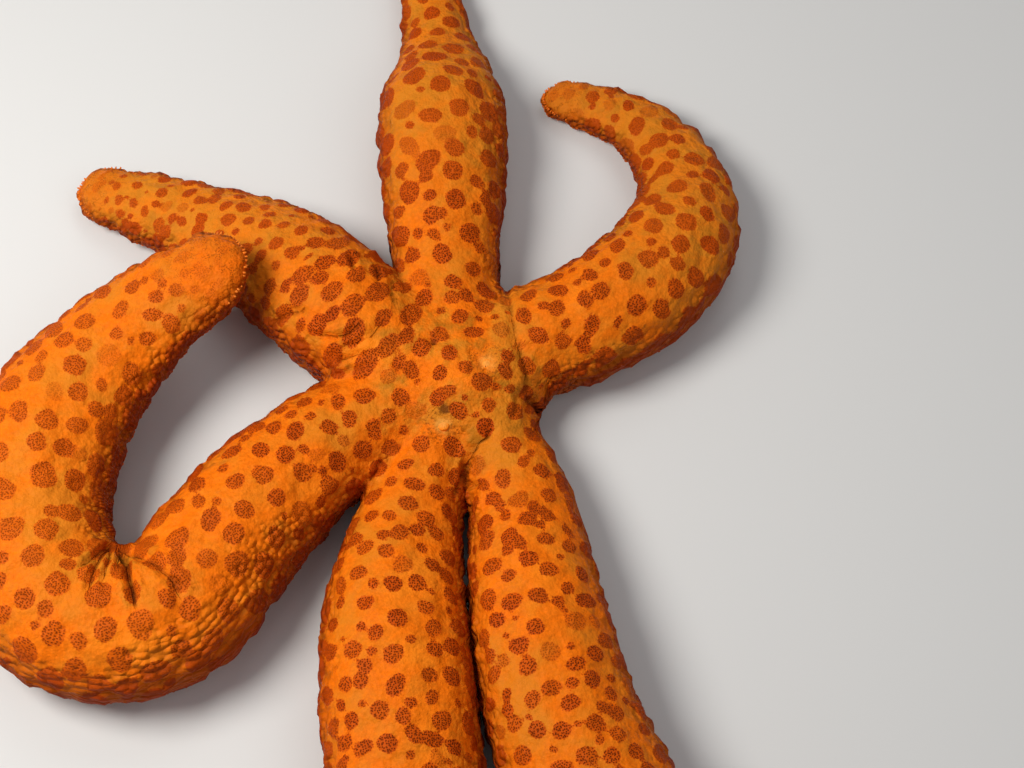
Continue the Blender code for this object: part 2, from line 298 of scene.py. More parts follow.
def settle(plan, under, fallback):
    """Heights at which upright lines first enter the body, from above or, under it, from below."""
    shape, plan = plan.shape[:-1], plan.reshape(-1, 2)
    levels = np.linspace(*(FROM_BELOW if under else FROM_ABOVE), SETTLE_LEVELS)
    outside, inside = np.full(len(plan), np.nan), np.full(len(plan), np.nan)
    for low, high in zip(levels, levels[1:]):
        here = body_field(np.column_stack([plan, np.full(len(plan), high)]))
        found = np.isnan(inside) & (here <= 0)
        outside[found], inside[found] = low, high
    missed = np.isnan(inside)
    for _ in range(SETTLE_HALVINGS):
        middle = np.where(missed, fallback, (outside + inside) / 2)
        within = body_field(np.column_stack([plan, middle])) <= 0
        inside, outside = np.where(within, middle, inside), np.where(within, outside, middle)
    return np.where(missed, fallback, (outside + inside) / 2).reshape(shape)


def ripple(points, wavelength, seed):
    """A smooth random field from -1 to 1, summed from sine waves of about one wavelength."""
    draw = np.random.default_rng(seed)
    waves = draw.normal(size=(RIPPLE_WAVES, 3))
    waves *= (draw.uniform(*RIPPLE_SPREAD, RIPPLE_WAVES) / np.linalg.norm(waves, axis=1))[:, None]
    phases = draw.uniform(0, 2 * math.pi, RIPPLE_WAVES)
    return np.sin(points @ waves.T * (2 * math.pi / wavelength) + phases).mean(1) * RIPPLE_GAIN


# ---- the skin's table of points ----------------------------------------------------------------
def notch(bearing):
    """Where two neighbouring arms part at their widest level, near a bearing from the centre."""
    angles = np.radians(bearing + np.arange(-NOTCH_SWING, NOTCH_SWING + 0.1, 0.5))
    for away in np.arange(*NOTCH_REACH, 0.1):
        spots = np.column_stack([away * np.cos(angles), away * np.sin(angles),
                                 np.full(len(angles), NOTCH_LEVEL)])
        field = body_field(spots)
        if field.max() > 0:
            break
    return spots[field.argmax(), :2]


def on_sole(q):
    """How far across points of the flat sole lie, as a share of the arm's width."""
    return SOLE_HALF_WIDTH * (0.6 * q + 0.4 * q * q)


def across_share(share):
    """Of an under row, how far across its columns lie, as a share of the arm's half width."""
    sole = SOLE_COLUMNS / UNDER_ROWS
    start = math.acos(2 * SOLE_HALF_WIDTH)
    angle = start * (1 - np.clip((share - sole) / (1 - sole), 0, 1))
    return np.where(share <= sole, 2 * on_sole(np.clip(share / sole, 0, 1)), np.cos(angle))


def disc_plan(arm, rows, under, notches):
    """Plan of the rows from the centre to where the arm is free: crest to crease, both sides.

    A row starts on the crest and runs to the crease's line, which is drawn out along the arm's
    route and crowded together toward its notch.
    """
    row = np.arange(rows + 1, dtype=float)[:, None]
    column = np.arange(-rows, rows + 1, dtype=float)[None, :]
    out = row / rows
    crest = beside(arm, PARTING * out, 0)
    crowded = out + CREASE_CROWDING * (np.sin(out * math.pi / 2) - out)
    crease = np.where(column[..., None] < 0, *(notches[bearing] for bearing in arm["creases"]))
    share = np.clip(np.abs(column) / np.maximum(row, 1), 0, 1)
    bent = across_share(share) if under else np.sin(share * math.pi / 2)
    share = (share + (bent - share) * out**2)[..., None]
    return crest + (crease * crowded[..., None] - crest) * share


def free_distances(arm):
    """Distances and shrinking of the free rows, the last of them closing like a quarter circle."""
    end = arm_length(arm) - TIP_ROUNDING
    count = round((end - PARTING) / ROW_SPACING)
    straight = PARTING + (end - PARTING) * np.arange(1, count + 1) / count
    angle = np.linspace(0, math.pi / 2, END_ROWS + 1)[1:]
    shrink = np.concatenate([np.ones(count), np.cos(angle)])
    shrink[-1] = 0
    return np.concatenate([straight, end + TIP_ROUNDING * np.sin(angle)]), shrink


def outer_edge(arm, distance, side, level):
    """How far to one side the body reaches at a level, from points along the arm's route."""
    half = smooth_values(arm["widths"], distance) / 2
    across = half[:, None] * np.linspace(*EDGE_SEARCH, EDGE_STEPS)
    spots = np.concatenate([beside(arm, distance[:, None], side * across),
                            np.broadcast_to(level[:, None, None], (*across.shape, 1))], 2)
    field = body_field(spots.reshape(-1, 3)).reshape(across.shape)
    row = np.arange(len(across))
    out = field > 0
    met = out.any(1) & ~out[:, 0]
    first = np.where(met, out.argmax(1), field.argmax(1))
    before = np.maximum(first - 1, 0)
    share = field[row, first] / np.maximum(field[row, first] - field[row, before], 1e-6)
    crossing = across[row, first] + (across[row, before] - across[row, first]) * share
    return np.where(met, crossing, across[row, first])


def free_points(arm, rows, under, skews, last):
    """Points of the rows past the disc: flat sole, arch, and the rounded end.

    Their first rows start aslant from the notches, skews mm behind the crest, carry on from the
    disc's last row and keep to the body as blended with its neighbours; further out they keep
    to the arm's own shape.
    """
    line, shrink = free_distances(arm)
    line, shrink = np.append(PARTING, line), np.append(1.0, shrink)
    columns = np.arange(-rows, rows + 1)
    share = np.abs(columns) / rows
    bent = across_share(share) if under else np.sin(share * math.pi / 2)
    fade = 1 - smooth_step(line, PARTING, PARTING + SKEW_FADE)
    distance = line[:, None] + np.where(columns < 0, *skews) * bent * fade[:, None]
    width = smooth_values(arm["widths"], distance)
    tall = width * flattening(arm, distance)
    own = smooth_step(line, *SETTLED)
    near = own < 1
    half = np.empty_like(distance)
    for side, edge in ((-1, 0), (1, -1)):
        level = NOTCH_LEVEL + (AXIS_HEIGHT * tall[near, edge] - NOTCH_LEVEL) * (1 - fade[near])
        reach = width[:, edge] / 2
        found = outer_edge(arm, distance[near, edge], side, level)
        reach[near] += (found - reach[near]) * (1 - own[near])
        half[:, columns * side >= 0] = (reach / width[:, edge])[:, None]
    across = np.sign(columns) * bent * half * width
    if under:
        low = AXIS_HEIGHT - ARCH_DOWN * np.sqrt(1 - np.clip(bent, 0, 1) ** 2)
        up = soft_maximum(low * tall, 0)
    else:
        up = (AXIS_HEIGHT + ARCH_UP * np.cos(share * math.pi / 2)) * tall
    plan = beside(arm, distance, across)
    plan = plan + (last - plan[0]) * fade[:, None, None]
    middle = AXIS_HEIGHT * tall
    middle += (NOTCH_LEVEL - middle) * fade[:, None] * bent
    level = settle(plan[near], under, np.nan)
    level = np.where(np.isnan(level) | (share == 1), middle[near], level)
    up[near] += (level - up[near]) * (1 - own[near])[:, None]
    line_places = beside(arm, distance, 0)
    plan = line_places + (plan - line_places) * shrink[:, None, None]
    up = middle + (up - middle) * shrink[:, None] + lift(arm, distance)
    return np.concatenate([plan, up[..., None]], 2)[1:]


class Sheet:
    """One arm's top or under sheet as tables of rows from the centre and columns across.

    real marks the points that are used: a row on the disc has only as many as its number. across
    is 0 on the crest, 1 (or -1) at the widest level and 2 (or -2) along the sole's middle.
    """

    def __init__(self, arm, rows, under, notches, skews):
        self.arm, self.rows, self.under = arm, rows, under
        self.columns = np.arange(-rows, rows + 1)
        plan = disc_plan(arm, rows, under, notches)
        height = settle(plan, under, NOTCH_LEVEL)
        height[rows, [0, -1]] = NOTCH_LEVEL
        disc = np.concatenate([plan, height[..., None]], 2)
        self.points = np.concatenate([disc, free_points(arm, rows, under, skews, plan[rows])])
        self.count = len(self.points)
        row, steps = np.arange(self.count)[:, None], np.abs(self.columns)
        self.real = (steps <= row) | (row > rows)
        share = 2 - steps / rows if under else steps / rows
        self.across = share * np.where(self.columns < 0, -1, 1) * np.ones(self.real.shape)
        self.index = np.full(self.real.shape, -1)

    def faces(self):
        """Quads and triangles as (row, column) corners, facing outwards."""
        rows, columns = self.real.shape
        r, c = np.indices((rows - 1, columns - 1))
        here, right = self.real[:-1, :-1], self.real[:-1, 1:]
        there, beyond = self.real[1:, :-1], self.real[1:, 1:]
        last = r == rows - 2
        corners = {"a": (r, c), "b": (r + 1, c), "c": (r + 1, c + 1), "d": (r, c + 1)}

        def gather(mask, letters):
            return np.stack([np.stack([corners[k][0][mask], corners[k][1][mask]], 1)
                             for k in letters], 1)

        whole = here & right & there & beyond
        quads = gather(whole & ~last, "abcd")
        triangles = np.concatenate([gather(whole & last, "abd"),
                                    gather(here & ~right & there & beyond, "abc"),
                                    gather(~here & right & there & beyond, "bcd")])
        return (quads[:, ::-1], triangles[:, ::-1]) if self.under else (quads, triangles)

    def row_lengths(self):
        """How far along each row its points lie from the crest's, left being positive."""
        steps = np.linalg.norm(np.diff(self.points, axis=1), axis=2)
        steps = np.where(self.real[:, 1:] & self.real[:, :-1], steps, 0)
        run = np.cumsum(np.pad(steps, ((0, 0), (1, 0))), axis=1)
        return run - run[:, self.rows:self.rows + 1]

    def distances(self):
        """How far along the arm each point lies."""
        disc = self.points[:self.rows + 1]
        disc = on_route(self.arm, disc.reshape(-1, 3))[0].reshape(disc.shape[:2])
        line, _ = free_distances(self.arm)
        fade = 1 - smooth_step(line, PARTING, PARTING + SKEW_FADE)
        skew = disc[-1] - PARTING
        return np.concatenate([disc, line[:, None] + skew * fade[:, None]])


def build_sheets():
    """Every arm's top and under sheet."""
    notches = {bearing: notch(bearing) for bearing in CREASE_BLENDS}
    sheets = {}
    for name, arm in ARMS.items():
        ends = np.array([notches[bearing] for bearing in arm["creases"]])
        skews = on_route(arm, ends)[0] - PARTING
        top, low = (Sheet(arm, rows, under, notches, skews)
                    for rows, under in ((DISC_ROWS, False), (UNDER_ROWS, True)))
        low.points[UNDER_ROWS:, [0, -1]] = top.points[DISC_ROWS:, [0, -1]]
        sheets[name] = (top, low)
    return sheets


def number_points(sheets):
    """Number each point once: creases, edges, ends and the two poles are shared by sheets."""
    shared, count = {}, 2
    for top, low in sheets.values():
        for sheet in (top, low):
            rows, index = sheet.rows, sheet.index
            index[0, rows] = 1 if sheet.under else 0
            for side, bearing in zip((-1, 1), sheet.arm["creases"]):
                for row in range(1, rows + 1):
                    key = (bearing, "notch") if row == rows else (bearing, sheet.under, row)
                    if key not in shared:
                        shared[key] = count
                        count += 1
                    index[row, rows + side * row] = shared[key]
            own = sheet.real & (index < 0)
            own[-1] = False
            if sheet.under:
                own[rows:, [0, -1]] = False
            index[own] = count + np.arange(own.sum())
            count += own.sum()
        low.index[UNDER_ROWS:, [0, -1]] = top.index[DISC_ROWS:, [0, -1]]
        top.index[-1] = low.index[-1] = count
        count += 1
    return count


def unwrap(pair):
    """An arm's two sheets laid flat: mm round it from its crest and along it; and half its girth.

    The under sheet carries on outwards from the top one's edges to the sole's middle.
    """
    top, low = pair
    round_top, round_low = top.row_lengths(), low.row_lengths()
    half = np.abs(round_top[DISC_ROWS:, [0, -1]]) + np.abs(round_low[UNDER_ROWS:, [0, -1]])
    reach = np.concatenate([np.repeat(half[:1], UNDER_ROWS, 0), half])
    round_low = np.where(low.columns < 0, -(reach[:, :1] + round_low), reach[:, 1:] - round_low)
    charts = [np.stack([round_arm, sheet.distances()], 2)
              for round_arm, sheet in ((round_top, top), (round_low, low))]
    return charts, half.max()


class Skin:
    """The whole skin as arrays: points, faces, unwrap and the values its material reads."""

    def __init__(self):
        self.sheets = build_sheets()
        count = number_points(self.sheets)
        self.points, self.chart = np.zeros((count, 3)), np.zeros((count, 2))
        self.across, self.along, self.distance = np.zeros((3, count))
        self.arm = np.zeros(count, int)
        unwraps = {name: unwrap(pair) for name, pair in self.sheets.items()}
        origins = self.lay_out({name: half for name, (_, half) in unwraps.items()})
        corners, corner_uvs = ([], []), ([], [])
        for number, (name, pair) in enumerate(self.sheets.items()):
            for sheet, chart in zip(pair, unwraps[name][0]):
                used = sheet.real
                index = sheet.index[used]
                self.points[index] = sheet.points[used]
                self.across[index] = sheet.across[used]
                self.along[index] = chart[used, 1] / arm_length(sheet.arm)
                self.distance[index] = chart[used, 1]
                self.arm[index] = number
                uv = (chart + origins[name]) / CHART_SIDE
                self.chart[index] = uv[used]
                for kind, corner in enumerate(sheet.faces()):
                    corners[kind].append(sheet.index[corner[..., 0], corner[..., 1]])
                    corner_uvs[kind].append(uv[corner[..., 0], corner[..., 1]].reshape(-1, 2))
        self.quads, self.triangles = (np.concatenate(kind) for kind in corners)
        self.uvs = np.concatenate([*corner_uvs[0], *corner_uvs[1]])

    def lay_out(self, halves):
        """Where each arm's strip starts on the unwrap: middle across, and lowest edge."""
        origins, x = {}, CHART_GAP
        for column in CHART_COLUMNS:
            half = max(halves[name] for name in column)
            y = CHART_GAP
            for name in column:
                origins[name] = (x + half, y)
                y += arm_length(ARMS[name]) + CHART_GAP
            x += 2 * half + CHART_GAP
        return origins

    def on_arm(self, name):
        """Which points belong to an arm."""
        return self.arm == list(ARMS).index(name)

    def normals(self):
        """Each point's outward direction, from the faces round it."""
        total = np.zeros_like(self.points)
        for corners in (self.quads, self.triangles):
            first, second, third, last = (self.points[corners[:, k]] for k in (0, 1, 2, -1))
            face = np.cross(third - first, last - second)
            for column in corners.T:
                np.add.at(total, column, face)
        return total / np.maximum(np.linalg.norm(total, axis=1), 1e-9)[:, None]


# ---- markings ----------------------------------------------------------------------------------
PATCH_RADII = (1.75, 1.55, 1.35, 1.1, 0.8)
PATCH_TRIES = (3600, 4600, 5600, 6000, 3600)
# How much bigger patches are, at distances along an arm.
PATCH_GROWTH = {
    "arm_1": ((18, 1), (32, 1.25), (66, 1.25), (80, 1)),
    "arm_2": ((20, 1), (45, 1.15)),
    "arm_5": ((35, 1), (60, 1.3)),
    "arm_6": ((5, 1), (15, 1.35), (27, 1.3), (42, 0.8)),
}
PATCH_SIZING = (0.86, 1.08)     # patches of one size differ by this much
PATCH_HIGHEST = 1.45            # how far round toward the sole patches are thrown
TIP_SHRINKING = 0.35            # patches shrink by this share toward an arm's end
FLANK_SWELLING = 0.16           # and are this share bigger on the flanks
PATCH_CLEARANCE = 0.55
PATCH_TIGHTNESS = 1.35          # on the flanks and where crowded, patches touch or overlap
PATCH_OVERLAP = 0.45            # how far the few patches that run together do so
PATCH_MERGING = 0.04            # share of throws that may run together with others
PATCH_STRETCH = (1.0, 1.35)
PATCH_SWING = 0.5               # how far patches turn from lying straight across their arm
FAINT_SHARE = 0.07              # share of patches that are faint
FAINT, STRONG = (0.3, 0.6), (0.82, 1.0)  # how strongly faint patches and others show
PATCH_SEED = 31
BARE_RADIUS = 3.4               # no patch's middle lies this near to a sieve plate's
CROWDED = {"arm_6": (8, 36)}    # lengths where patches lie close and are drawn out across the arm
CROWDED_STRETCH = (1.35, 1.8)
CROWDED_SWING = 0.1
FAR = 9.0                       # distances to patches are not told apart beyond this
CHUNK = 8000                    # points are compared with all patches this many at a time


class Patches:
    """Oval fields of pores thrown on the skin, big ones first, mostly clear of earlier ones."""

    def __init__(self, skin):
        draw = np.random.default_rng(PATCH_SEED)
        side = np.abs(skin.across)
        crowded, growth = np.zeros(len(side)), np.ones(len(side))
        for name, stations in PATCH_GROWTH.items():
            own = smooth_values(stations, skin.distance)
            growth = np.where(skin.on_arm(name), own, growth)
        for name, (low, high) in CROWDED.items():
            crowded[skin.on_arm(name) & (skin.distance > low) & (skin.distance < high)] = 1
        bare = np.zeros(len(side), bool)
        for place in MADREPORITES:
            bare |= away_from(skin.points, place) < BARE_RADIUS
        flank = smooth_step(side, 0.45, 0.85)
        growth = growth * (1 - TIP_SHRINKING * smooth_step(skin.along, 0.7, 1.0))
        growth = growth * (1 + FLANK_SWELLING * flank)
        clearance = PATCH_CLEARANCE * (1 - PATCH_TIGHTNESS * np.maximum(flank, crowded))
        allowed = np.flatnonzero((side < PATCH_HIGHEST) & ~bare)
        self.places, self.sizes, chosen = np.empty((0, 3)), np.empty(0), []
        for radius, tries in zip(PATCH_RADII, PATCH_TRIES):
            picks = draw.choice(allowed, tries)
            luck, sizing = draw.random(tries), draw.uniform(*PATCH_SIZING, tries)
            for pick, chance, grow in zip(picks, luck, sizing):
                here, size = skin.points[pick], radius * grow * growth[pick]
                room = -PATCH_OVERLAP if chance < PATCH_MERGING else clearance[pick]
                gaps = np.linalg.norm(self.places - here, axis=1) - self.sizes - size
                if gaps.min(initial=np.inf) < room:
                    continue
                self.places, self.sizes = np.vstack([self.places, here]), np.append(self.sizes, size)
                chosen.append(pick)
        self.shape(skin, draw, np.array(chosen), crowded)

    def shape(self, skin, draw, chosen, crowded):
        """Choose each patch's longer way, how drawn out it is and how strongly it shows."""
        count = len(chosen)
        normal = skin.normals()[chosen]
        along = draw.normal(size=(count, 3))
        bearing = np.zeros(count)
        for name, arm in ARMS.items():
            mine = skin.on_arm(name)[chosen]
            bearing[mine] = route(arm, skin.distance[chosen][mine])[2]
        across = np.stack([-np.sin(bearing), np.cos(bearing), np.zeros(count)], 1)
        tight = crowded[chosen] > 0
        along = across + np.where(tight, CROWDED_SWING, PATCH_SWING)[:, None] * along
        along -= (along * normal).sum(1)[:, None] * normal
        self.axes = along / np.linalg.norm(along, axis=1)[:, None]
        self.stretch = np.where(tight, draw.uniform(*CROWDED_STRETCH, count),
                                draw.uniform(*PATCH_STRETCH, count))
        faint = draw.random(count) < FAINT_SHARE
        self.strength = np.where(faint, draw.uniform(*FAINT, count), draw.uniform(*STRONG, count))

    def nearest(self, points):
        """Distance in mm outside the nearest patch, negative within, and that patch's strength."""
        distance, strength = np.empty(len(points)), np.empty(len(points))
        minor = self.sizes / np.sqrt(self.stretch)
        start_along = (self.places * self.axes).sum(1)
        for start in range(0, len(points), CHUNK):
            part = slice(start, start + CHUNK)
            chunk = points[part]
            square = ((chunk**2).sum(1)[:, None] + (self.places**2).sum(1)[None]
                      - 2 * chunk @ self.places.T)
            square -= (chunk @ self.axes.T - start_along) ** 2 * (1 - self.stretch**-2)
            gap = np.sqrt(np.maximum(square, 0)) - minor
            best = gap.argmin(1)
            distance[part] = gap[np.arange(len(chunk)), best]
            strength[part] = self.strength[best]
        return np.minimum(distance, FAR), strength


# ---- the skin's relief -------------------------------------------------------------------------
LUMP_HEIGHT = 0.26
LUMP_LENGTH = 9.0
DIMPLE_HEIGHT = 0.23
DIMPLE_LENGTH = 3.4
FLANK_DIMPLES = 0.7             # how much deeper the dimples are on the flanks
PATCH_HEIGHT = 0.10
FLANK_PATCH_SWELLING = 3.2      # how much higher patches stand on the flanks
RELIEF_END = (1.2, 1.45)        # how far round toward the sole the relief dies out
FOLD_DEPTH = 1.25
LIP_SHARE = 0.35                # height of a furrow's lips, as a share of its depth
LIP_PLACE, LIP_WIDTH = 2.0, 0.8
FOLD_NEARBY = 3.2               # duller, finely wrinkled skin reaches about this far
FURROW_TAPER = 0.7              # furrows run out over the rest of their length past this share
CREASE_FURROW = (0.7, 0.8, 0.8)  # half width, strength, and how near the centre it comes
# Furrows in the skin's top: half width, strength, and a path in plan that ends where it runs out.
FURROWS = {
    "round arm 2's root": (0.7, 0.7, ((8.7, 18.4), (8.9, 13.8), (9.4, 10), (10.2, 6.2), (11, 3.8),
                                      (11.7, 1.9), (12.2, 0.1), (12.1, -5), (12, -8))),
    "below it": (0.65, 0.5, ((12.2, -1.7), (10.4, -4), (10, -6.6), (8.6, -9.4))),
    "from arms 3 and 4": (0.7, 0.85, ((0.9, -18), (1.1, -16.2), (2.1, -14.4), (3.7, -12.5),
                                      (4.9, -11.9), (6.7, -8.6))),
    "beside it": (0.5, 0.55, ((1.2, -17.4), (2, -16.1), (3.1, -14.8))),
    "onto arm 3": (0.55, 0.6, ((0.9, -18.6), (-0.1, -20.6), (-0.9, -22.5))),
    "onto arm 4": (0.5, 0.5, ((1.3, -19.1), (2.7, -19.9), (3.8, -20.1), (5.2, -19.7))),
    "branch by arm 5": (0.5, 0.5, ((-13.8, -15.7), (-13, -16.1), (-12, -16.7))),
    "middle of the elbow": (0.65, 1.4, ((-57.6, -34.1), (-56, -36.5), (-55.1, -39.5),
                                      (-54.1, -42.3), (-53.4, -45), (-52.6, -47.6))),
    "right of the elbow": (0.9, 0.8, ((-57.5, -33.6), (-54.6, -35), (-50.5, -37.7),
                                      (-47.4, -40.8), (-45.7, -44), (-44.6, -46.8))),
    "beside that": (0.6, 0.6, ((-48.8, -39.1), (-46.3, -40.7), (-43.7, -42.1), (-42.7, -44.1))),
    "left of the elbow": (0.55, 0.85, ((-59.4, -33.1), (-60.1, -35.6), (-60.7, -38),
                                      (-60.9, -40.3), (-61.3, -42.5), (-61.6, -44.5))),
    "further left": (0.55, 0.8, ((-59.9, -33.3), (-60.7, -35.1), (-62.7, -38), (-63.5, -39))),
    "between them": (0.5, 0.65, ((-59, -33.5), (-58.7, -35.9), (-59, -37.9), (-59, -40),
                                (-59.2, -42.1))),
    "by the middle one": (0.5, 0.6, ((-58.2, -34), (-57.2, -36.8), (-56.6, -39.2))),
    "arm 6's front": (0.65, 0.75, ((-33, 11.1), (-31, 11.2), (-28.7, 11), (-26.8, 12.2))),
    "arm 6's root": (0.55, 0.8, ((-25.3, 6.6), (-22.1, 5.9), (-19.8, 6.2), (-18.2, 7.7),
                                 (-16.3, 9.6))),
    "below arm 6's root": (0.5, 0.6, ((-20.6, 4.4), (-18.1, 4.8), (-16.6, 5.8))),
    "beside arm 6's root": (0.5, 0.6, ((-15.6, 5.9), (-14.2, 7.9), (-12.2, 9.5))),
    "over arm 6's root": (0.5, 0.65, ((-15, 20.8), (-14.6, 18.6), (-14.6, 16.6))),
    "arm 6's back": (0.55, 0.7, ((-19.6, 22.2), (-19.3, 19.8), (-18.8, 17.9))),
    "toward arm 1": (0.5, 0.6, ((-12.1, 18.3), (-12, 14.8), (-11.4, 11.6))),
    "toward arm 5": (0.5, 0.5, ((-21, 2.4), (-18.6, 2.7), (-16.5, 3.3))),
}
ANUS_RADIUS = 0.5
FINE_WRINKLE = 0.10
FINE_WRINKLE_LENGTH = 1.9


def carve_groove(skin):
    """Lift the groove under each arm and the mouth's recess into the sole."""
    side = np.abs(skin.across)
    under = side > 1.0
    for name, arm in ARMS.items():
        mine = np.flatnonzero(under & skin.on_arm(name))
        width = smooth_values(arm["widths"], skin.distance[mine])
        across = on_sole((2 - side[mine]) * UNDER_ROWS / SOLE_COLUMNS)
        shape = np.cos(np.clip(across / GROOVE_HALF_WIDTH, 0, 1) * math.pi / 2) ** 2
        ending = 1 - smooth_step(skin.along[mine], *GROOVE_END)
        skin.points[mine, 2] += GROOVE_DEPTH * width * shape * ending
    bowl = 1 - smooth_step(away_from(skin.points), 0.75 * MOUTH_RADIUS, 1.15 * MOUTH_RADIUS)
    skin.points[:, 2] = np.maximum(skin.points[:, 2], MOUTH_DEPTH * bowl * under)


def add_relief(skin):
    """Sink creases, raise patches and wrinkle the skin, all along its own normals."""
    normals = skin.normals()
    p, side = skin.points, np.abs(skin.across)
    dimples = DIMPLE_HEIGHT * (1 + FLANK_DIMPLES * smooth_step(side, 0.5, 0.9))
    height = LUMP_HEIGHT * ripple(p, LUMP_LENGTH, 3) + dimples * ripple(p, DIMPLE_LENGTH, 4)
    swelling = 1 + FLANK_PATCH_SWELLING * smooth_step(side, 0.4, 0.8)
    height += PATCH_HEIGHT * swelling * smooth_step(-skin.patch, -0.5, 0.4)
    height += FOLD_DEPTH * (LIP_SHARE * skin.lip - skin.fold)
    height += FINE_WRINKLE * skin.beside * ripple(p, FINE_WRINKLE_LENGTH, 5)
    top = 1 - smooth_step(side, *RELIEF_END)
    skin.points = p + normals * ((height * top) - SKIN_INSET)[:, None]
    carve_groove(skin)
    skin.points[:, 2] = np.maximum(skin.points[:, 2], 0.0)


def path_gap(points, path):
    """How far points lie to a side of a path of straight pieces, and the share of it done there."""
    gap, place = np.full(len(points), np.inf), np.zeros(len(points))
    pieces = np.linalg.norm(np.diff(path, axis=0), axis=1)
    for number, (start, end) in enumerate(zip(path, path[1:])):
        way = end - start
        share = np.clip((points - start) @ way / (way @ way), 0, 1)
        apart = np.linalg.norm(points - start - share[:, None] * way, axis=1)
        turned = way[0] * (points[:, 1] - start[1]) - way[1] * (points[:, 0] - start[0])
        nearer = apart < np.abs(gap)
        done = (pieces[:number].sum() + share * pieces[number]) / pieces.sum()
        gap = np.where(nearer, np.where(turned < 0, -apart, apart), gap)
        place = np.where(nearer, done, place)
    return gap, place


def furrow_skin(skin):
    """Work out how deep in a furrow, how high on its lips and how near one each point lies.

    The seam is how far a point lies to the left of its furrow's middle line. Each depth is a bell
    across the furrow, which runs out toward the path's end; the lips are bells to its sides.
    """
    top = np.flatnonzero(np.abs(skin.across) <= 1)
    points = skin.points[top]
    half, strength, reach = CREASE_FURROW
    notches = [notch(crease) for crease in CREASE_BLENDS]
    furrows = [(half, strength, (place, reach * place)) for place in notches]
    skin.fold, skin.lip, skin.beside = np.zeros((3, len(skin.points)))
    skin.seam = np.full(len(skin.points), FAR)
    for half, strength, path in (*furrows, *FURROWS.values()):
        near = [away_from(points, place).argmin() for place in path]
        seam, place = path_gap(points, np.column_stack([path, points[near, 2]]))
        shown = strength * (1 - smooth_step(place, FURROW_TAPER, 1))
        core = shown * bell(seam / half)
        deepest = core > skin.fold[top]
        skin.seam[top[deepest]] = seam[deepest]
        lips = shown * bell((np.abs(seam) / half - LIP_PLACE) / LIP_WIDTH)
        for value, found in ((skin.fold, core), (skin.lip, lips),
                             (skin.beside, shown * bell(seam / FOLD_NEARBY))):
            value[top] = np.maximum(value[top], found)
    skin.lip *= 1 - np.clip(2 * skin.fold, 0, 1)


# ---- meshes ------------------------------------------------------------------------------------
def to_world(points):
    """mm from the disc's centre on the floor, as metres in the frame."""
    return (points + np.array([*DISC_CENTRE, 0])) * MM


def add_object(name, data):
    """An object made of its data and linked into the scene."""
    made = bpy.data.objects.new(name, data)
    bpy.context.scene.collection.objects.link(made)
    return made


def add_mesh(name, points, faces, uvs, material, values=None):
    """A smooth mesh piece that rides on the body, from arrays of points, faces and corner UVs."""
    mesh = bpy.data.meshes.new(name)
    mesh.from_pydata(to_world(points), [], [face for group in faces for face in group.tolist()])
    layer = mesh.uv_layers.new(name="OFBake")
    layer.data.foreach_set("uv", np.ascontiguousarray(uvs, np.float32).ravel())
    for label, numbers in (values or {}).items():
        attribute = mesh.attributes.new(label, "FLOAT", "POINT")
        attribute.data.foreach_set("value", np.ascontiguousarray(numbers, np.float32))
    mesh.shade_smooth()
    mesh.materials.append(material)
    piece = add_object(name, mesh)
    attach(piece, BODY)
    return piece


# A peg's rings from its foot up: share of its reach, and share of its radius.
BEAD = ((0.0, 1.0), (0.45, 0.86), (0.85, 0.5))
SPINE = ((0.0, 1.0), (0.55, 0.95), (0.88, 0.62))
FOOT = ((0.0, 0.8), (0.75, 0.7), (0.8, 1.25), (0.97, 1.15))
ROOT_PATCH = 0.0015             # radius of a peg's own patch on the unwrap


def circle(sides):
    """Unit places round a circle."""
    turn = np.arange(sides) * 2 * math.pi / sides
    return np.stack([np.cos(turn), np.sin(turn)], 1)


def ring_faces(rings, sides):
    """Quads between rings of points, each ring numbered on from the one before it."""
    step = np.arange(sides)
    after = (step + 1) % sides
    return np.concatenate([np.stack([r * sides + step, (r + 1) * sides + step,
                                     (r + 1) * sides + after, r * sides + after], 1)
                           for r in range(rings - 1)])


def end_faces(sides, start, middle):
    """Triangles that close the ring numbered on from start with a point at its middle."""
    step = np.arange(sides)
    return np.stack([start + step, start + (step + 1) % sides, np.full(sides, middle)], 1)


